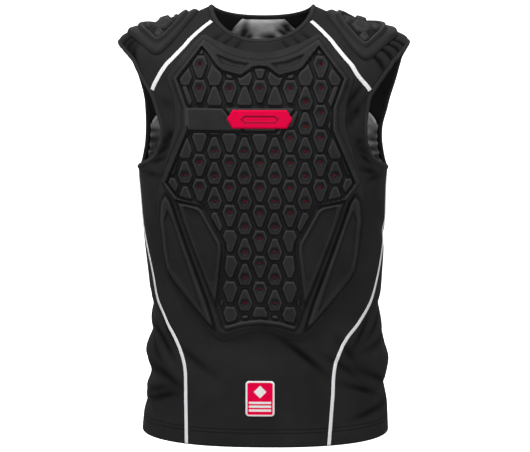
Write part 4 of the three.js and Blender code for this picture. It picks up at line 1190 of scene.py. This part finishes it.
def plate_relief(x, z):
    """The flange climbs from a thin edge, the rim stands over it, and walls drop to the field's floor."""
    outer = inside_distance(x, z, plate_line)
    field = inside_distance(x, z, field_line)
    rim = inside_distance(x, z, rim_line)
    ribs = np.maximum(both_sides(x, z, INNER_RIB), both_sides(x, z, OUTER_RIB))
    flange = FLANGE_EDGE + FLANGE * eased(outer / FLANGE_CLIMB)
    rim_here = eased((-ribs - RIB_ROOM) / 3.0)
    border = flange + (RIM_TOP - flange) * eased(rim / RIM_CLIMB) * rim_here
    border -= RIM_GROOVE * bell(rim, -1.0, 1.1) * rim_here
    border -= POCKET_DROP * eased(both_sides(x, z, COLLAR_POCKET) / 1.2)
    border = np.where(ribs > -RIB_ROOM, np.minimum(border, RIB_SEAT), border)
    band, badge = inside_distance(x, z, BAND), inside_distance(x, z, BADGE_ZONE)
    top = PAD_TOP - RECESS_DROP * eased(recess_distance(x, z) / 0.9)
    top = top - HOLE_DROP * bell(hole_distance(x, z), 0.0, 1.2)
    top = np.where(np.maximum(band, badge) > -GROOVE / 2, RIM_TOP, top)
    top -= BAND_GROOVE * bell(band, 0.4, 0.7) * (badge > -6)
    high = np.where(field > 0, top, border)
    walled = (field > -WALL * 1.5) & (high > FLOOR)
    return FLOOR + (high - FLOOR) * np.where(walled, eased(raised_distance(x, z) / WALL), 1.0)


print("plate heights", {"floor": FLOOR, "pads": PAD_TOP, "rim": RIM_TOP})

# %% Chest plate
PLATE_BOX, PLATE_STEP = ((-152, 152), (-483, -40)), 1.5
plate, plate_x, plate_z = moulded(
    "chest_plate", PLATE_BOX, PLATE_STEP, plate_keep, plate_relief, lifted(PLATE_LIFT),
    raised_distance, (0.0, WALL),
)
plate_raised, plate_recess = raised_distance(plate_x, plate_z), recess_distance(plate_x, plate_z)
plate_ribs = np.maximum(both_sides(plate_x, plate_z, INNER_RIB), both_sides(plate_x, plate_z, OUTER_RIB))
plate_rim = inside_distance(plate_x, plate_z, rim_line)
collar_pocket = both_sides(plate_x, plate_z, COLLAR_POCKET)
# painted shade on the floor, at the walls' feet, round the recesses, by the ribs, rim groove and collar
# pocket
plate_shadows = [
    0.45 * eased(1 - plate_raised / WALL),
    0.85 * bell(plate_raised, 0.2, 1.0),
    0.75 * bell(plate_recess, 0.4, 0.9),
    0.85 * bell(plate_ribs, -1.6, 2.4),
    0.6 * bell(plate_rim, -1.0, 0.9) * (plate_ribs < -5),
    0.6 * bell(collar_pocket, 0.6, 0.8),
]
# painted highlight along the tops of the walls
note(plate, "edge", bell(plate_raised, WALL + 0.4, 0.9))
note(plate, "painted_shade", np.maximum.reduce(plate_shadows))
dress(plate, "chest_plate", "foam", plate_foam)

# %% [markdown]
# ## Red sheet behind the plate
# Red cloth lies behind the plate and shows at the bottom of every hole. A plain grid is enough, because only
# small discs of it are seen.

# %% Backing
BACKING = np.array([
    (90, -72), (100, -86), (108, -104), (102, -125), (96, -150), (96, -180), (110, -212), (114, -245),
    (98, -272), (66, -305), (44, -345), (44, -440),
], float)
BACKING_ROWS, BACKING_COLUMNS, BACKING_LIFT, BACKING_THICK = 80, 60, 1.0, 0.5
backing_z = np.linspace(BACKING[0, 1], BACKING[-1, 1], BACKING_ROWS)
backing_half = np.interp(-backing_z, -BACKING[:, 1], BACKING[:, 0])
backing_x = np.linspace(-1, 1, BACKING_COLUMNS)[None, :] * backing_half[:, None]
backing_grid = place_at(backing_x, np.repeat(backing_z[:, None], BACKING_COLUMNS, axis=1))
sheet_of("plate_backing", *backing_grid, "red_cloth", backing_red, BACKING_LIFT, BACKING_THICK)

# %% [markdown]
# ## Rib plates
# Two long plates lie on each side of the belly, with a deep groove between them. Each has a shallow pocket
# with a soft lip, which lets the foam bend there.

# %% Rib plates
INNER_POCKET = [
    (110, -284), (92, -288), (86, -292), (62, -336), (60, -346), (66, -391), (70, -397), (87, -357),
    (101, -317),
]
OUTER_POCKET = [
    (134, -290), (139, -308), (133, -366), (127, -383), (99, -417), (82, -440), (111, -352), (125, -309),
]
RIB_LIFT, RIB_EDGE, RIB_TOP, RIB_STEP = 4.0, 1.0, 7.2, 1.3
RIB_ROUND, RIB_LIP, POCKET_DEPTH, RIB_MARGIN = 3.2, 0.6, 2.0, 2


def rib_plate(name, line, recess):
    """A rounded block with a pocket and a low lip round it, inside the line."""

    def relief(x, z):
        rim, hollow = inside_distance(x, z, line), inside_distance(x, z, recess)
        block = RIB_EDGE + (RIB_TOP - RIB_EDGE) * np.sqrt(eased(rim / RIB_ROUND))
        return block + RIB_LIP * bell(hollow, -1.4, 1.2) - POCKET_DEPTH * eased(hollow / 1.8)

    box = zip(line.min(axis=0) - RIB_MARGIN, line.max(axis=0) + RIB_MARGIN)
    piece, x, z = moulded(name, box, RIB_STEP, within(line), relief, lifted(RIB_LIFT))
    rim, hollow = inside_distance(x, z, line), inside_distance(x, z, recess)
    # painted shade at the foot of the outline and in the pocket
    shadows = [0.8 * bell(rim, 0.0, 1.3), 0.7 * bell(hollow, 0.7, 0.9), 0.3 * eased(hollow)]
    # painted highlight on the block's rounded shoulder
    note(piece, "edge", 0.45 * bell(rim, 2.6, 1.2))
    note(piece, "painted_shade", np.maximum.reduce(shadows))
    dress(piece, name, "foam", plate_foam)


RIBS = {"inner": (INNER_RIB, INNER_POCKET), "outer": (OUTER_RIB, OUTER_POCKET)}
for side, sign in (("left", 1), ("right", -1)):
    for rib, outlines in RIBS.items():
        rib_plate(f"rib_plate_{rib}_{side}", *(np.array(outline, float) * (sign, 1) for outline in outlines))

# %% [markdown]
# ## Shoulder pads
# A diamond-shaped pad wraps over each shoulder, with a soft border, a raised ridge and a sunk field that
# holds six-sided studs. It is drawn flat: across the shoulder from the neck out, and along it from the ridge
# to the front. Each point is then laid over the shoulder by walking that far from the ridge.

# %% Shoulder pad outlines
SHOULDER_OUTLINE = [
    (97, -18), (94, 2), (107, 28), (127, 62), (141, 78), (152, 78), (166, 62), (188, 28), (197, 8),
    (195, -18), (176, -46), (153, -64), (134, -64), (113, -46),
]
SHOULDER_RIDGE = [
    (107, -12), (106, 2), (118, 27), (136, 52), (145, 60), (150, 60), (158, 50), (174, 25), (181, 6),
    (179, -14), (166, -37), (150, -51), (137, -51), (121, -34),
]
SHOULDER_FIELD = [
    (113, -10), (112, 2), (123, 27), (139, 49), (146, 54.5), (149.5, 54.5), (155, 47), (169, 24), (175, 6),
    (173, -13), (160, -33), (148, -44), (138, -44), (124, -30),
]
SHOULDER_FORWARD = {"left": 17, "right": 8}
STUDS = [
    # middle across, middle along, half width, half height
    (143, 17, 13.5, 14), (147, 40, 7, 7), (123.5, 8, 5, 6.5), (164, 9, 6, 7), (143, -12, 9, 9),
]
shoulder_line = smooth_line(SHOULDER_OUTLINE, 4, closed=True)
print("shoulder outline points", len(shoulder_line), "studs", len(STUDS))

# %% Shoulder pad relief
PAD_EDGE, PAD_BORDER, PAD_ROUND, RIDGE_TOP = 0.8, 4.4, 5, 8.6
RIDGE_GROOVE, FIELD_DROP, STUD_HEIGHT, STUD_BEVEL = 0.9, 4.6, 4.8, 2.6


def stud_distance(x, y):
    """Inside distance of the nearest six-sided stud."""
    turn = np.arange(6) * np.pi / 3
    studs = [
        inside_distance(x, y, np.stack([cx + wide * np.cos(turn), cy + tall * np.sin(turn)], axis=1))
        for cx, cy, wide, tall in STUDS
    ]
    return np.maximum.reduce(studs)


def pad_relief(x, y):
    """A rounded border that climbs to a ridge, a sunk field and studs with bevelled sides."""
    border = PAD_EDGE + PAD_BORDER * np.sqrt(eased(inside_distance(x, y, shoulder_line) / PAD_ROUND))
    ridge, field = inside_distance(x, y, SHOULDER_RIDGE), inside_distance(x, y, SHOULDER_FIELD)
    height = border + (RIDGE_TOP - border) * eased(ridge / 2.0) - RIDGE_GROOVE * bell(ridge, -1.4, 1.2)
    height -= FIELD_DROP * eased(field / 2.0)
    return height + STUD_HEIGHT * np.sqrt(eased(stud_distance(x, y) / STUD_BEVEL))


print("height of the ridge", RIDGE_TOP, "and of the studs over the field", STUD_HEIGHT)

# %% Laying a pad over the shoulder
TOP_V, LOWEST_V, WALK_STEPS = 0.88, 0.7, 160


def walked(points):
    """How far a walk along each row of points has come at each of them."""
    steps = np.linalg.norm(np.diff(points, axis=1), axis=2)
    return np.pad(np.cumsum(steps, axis=1), ((0, 0), (1, 0)))


def shoulder_places(x, y, half):
    """The places a distance y over the shoulder from its ridge; half names the section's half width."""
    shares = np.linspace(0, 1, WALK_STEPS) ** 2
    low, high = np.full(x.shape, TOP_V), np.ones(x.shape)
    for _ in range(30):
        v = (low + high) / 2
        wider = section_value(half, v) > x
        low, high = np.where(wider, v, low), np.where(wider, high, v)
    walk_v = low[:, None] - (low[:, None] - LOWEST_V) * shares[None, :]
    share = np.minimum(x[:, None] / section_value(half, walk_v), 1)
    turn = np.arccos(share ** (section_value("square", walk_v) / 2))
    u, v = np.empty(x.shape), np.empty(x.shape)
    for sign, mask in ((-1, y > 0), (1, y <= 0)):
        length = walked(body_point(sign * turn[mask], walk_v[mask]))
        at = np.abs(y[mask])
        k = np.clip((length < at[:, None]).sum(axis=1) - 1, 0, WALK_STEPS - 2)
        row = np.arange(mask.sum())
        here, there = length[row, k], length[row, k + 1]
        t = np.clip((at - here) / np.maximum(there - here, 1e-9), 0, 1)
        u[mask] = sign * (turn[mask][row, k] * (1 - t) + turn[mask][row, k + 1] * t)
        v[mask] = walk_v[mask][row, k] * (1 - t) + walk_v[mask][row, k + 1] * t
    return u, v


print("a pad starts from the ridge at v", TOP_V, "or higher")

# %% Shoulder pads
SHOULDER_BOX, SHOULDER_STEP, SHOULDER_LIFT = ((92, 200), (-67, 82)), 1.25, 0.4
STUD_SHOULDER = 1.8


def shoulder_pad(name, side):
    """One pad, laid over the shoulder of that side."""

    def lay(x, y, height):
        u, v = shoulder_places(x, y + SHOULDER_FORWARD[side], side)
        return cloth_point(u if side == "left" else np.pi - u, v, SHOULDER_LIFT + height)

    piece, x, y = moulded(
        name, SHOULDER_BOX, SHOULDER_STEP, within(shoulder_line), pad_relief, lay,
        stud_distance, (0.0, STUD_SHOULDER),
    )
    stud = stud_distance(x, y)
    sunk, climb = inside_distance(x, y, SHOULDER_FIELD), inside_distance(x, y, SHOULDER_RIDGE)
    # painted shade on the sunk field round the studs and in the groove beside the ridge
    shadow = 0.92 * eased(sunk / 2.0) * eased(-stud / 0.8)
    # painted highlights on the studs' bevels and along the field's edge
    note(piece, "edge", bell(stud, 1.6, 1.2) + bell(sunk, 0.0, 1.0))
    note(piece, "painted_shade", np.maximum(shadow, 0.6 * bell(climb, -1.2, 1.0)))
    dress(piece, name, "foam", plate_foam)


for side in EDGES:
    shoulder_pad(f"shoulder_pad_{side}", side)

# %% [markdown]
# ## Badge and hem patch
# A red moulded badge sits across the field, under the upper pads, and a small red patch with a pale rim is
# sewn near the hem. Both are plain designs: the badge is a long six-sided bar with a slot, and the patch has
# a diamond over three stripes. Colours that change inside a piece are kept as attributes of its points.

# %% Badge
BADGE = [(-46, -159.5), (-38, -146.5), (38, -146.5), (46, -159.5), (38, -172.5), (-38, -172.5)]
BADGE_SLOT = [(-26, -159.5), (-21, -155), (21, -155), (26, -159.5), (21, -164), (-21, -164)]
BADGE_BOX, PATCH_STEP = ((-48, 48), (-175, -144)), 0.8
BADGE_EDGE, BADGE_RISE, SLOT_DROP = 0.4, 1.8, 0.9


def badge_relief(x, z):
    """A bevelled bar with a shallow slot."""
    slot = inside_distance(x, z, BADGE_SLOT)
    block = BADGE_EDGE + BADGE_RISE * eased(inside_distance(x, z, BADGE) / 1.8)
    return block - SLOT_DROP * eased(slot / 1.2)


badge, x, z = moulded(
    "chest_badge", BADGE_BOX, PATCH_STEP, within(BADGE), badge_relief, lifted(PLATE_LIFT + RIM_TOP),
)
# painted shade in the badge's slot
note(badge, "painted_shade", 0.9 * bell(inside_distance(x, z, BADGE_SLOT), 0.0, 0.9))
dress(badge, "chest_badge", "red_rubber", badge_red)

# %% Hem patch
LABEL_HALF_WIDTH, LABEL_HALF_HEIGHT, LABEL_MIDDLE, LABEL_CORNER = 21.0, 26.0, -565.0, 5.0
LABEL_LIFT, LABEL_RIM, STRIPE_MARGIN, STRIPE_HALF = 0.3, 2.6, 5, 1.4
LABEL_EDGE, LABEL_RISE, SEWN_DROP, SEWN_AT = 0.5, 0.6, 0.25, 3.4
LABEL_BOX = ((-22, 23), (-592, -538))
LABEL_STRIPES = (-571.0, -576.5, -582.0)
LABEL_DIAMOND = [(0, -546), (9, -555), (0, -564), (-9, -555)]


def label_distance(x, z):
    """Inside distance of a box with round corners."""
    past_x = np.abs(x) - LABEL_HALF_WIDTH + LABEL_CORNER
    past_z = np.abs(z - LABEL_MIDDLE) - LABEL_HALF_HEIGHT + LABEL_CORNER
    beyond = np.hypot(np.maximum(past_x, 0), np.maximum(past_z, 0))
    return LABEL_CORNER - (beyond + np.minimum(np.maximum(past_x, past_z), 0))


def label_relief(x, z):
    """A thin patch with round edges and a groove where it is sewn on."""
    inner = label_distance(x, z)
    return LABEL_EDGE + LABEL_RISE * eased(inner / 1.2) - SEWN_DROP * bell(inner, SEWN_AT, 0.5)


patch, x, z = moulded(
    "hem_label", LABEL_BOX, PATCH_STEP, label_distance, label_relief, lifted(LABEL_LIFT),
)
inner = label_distance(x, z)
stripe = np.minimum.reduce([np.abs(z - level) for level in LABEL_STRIPES]) < STRIPE_HALF
pale = (inner < LABEL_RIM) | (stripe & (inner > STRIPE_MARGIN)) | (inside_distance(x, z, LABEL_DIAMOND) > 0)
note(patch, "rim", pale.astype(np.float32))
dress(patch, "hem_label", "red_cloth", label_red)

# %% [markdown]
# ## Finish

# %% Finish
print("all pieces are built")
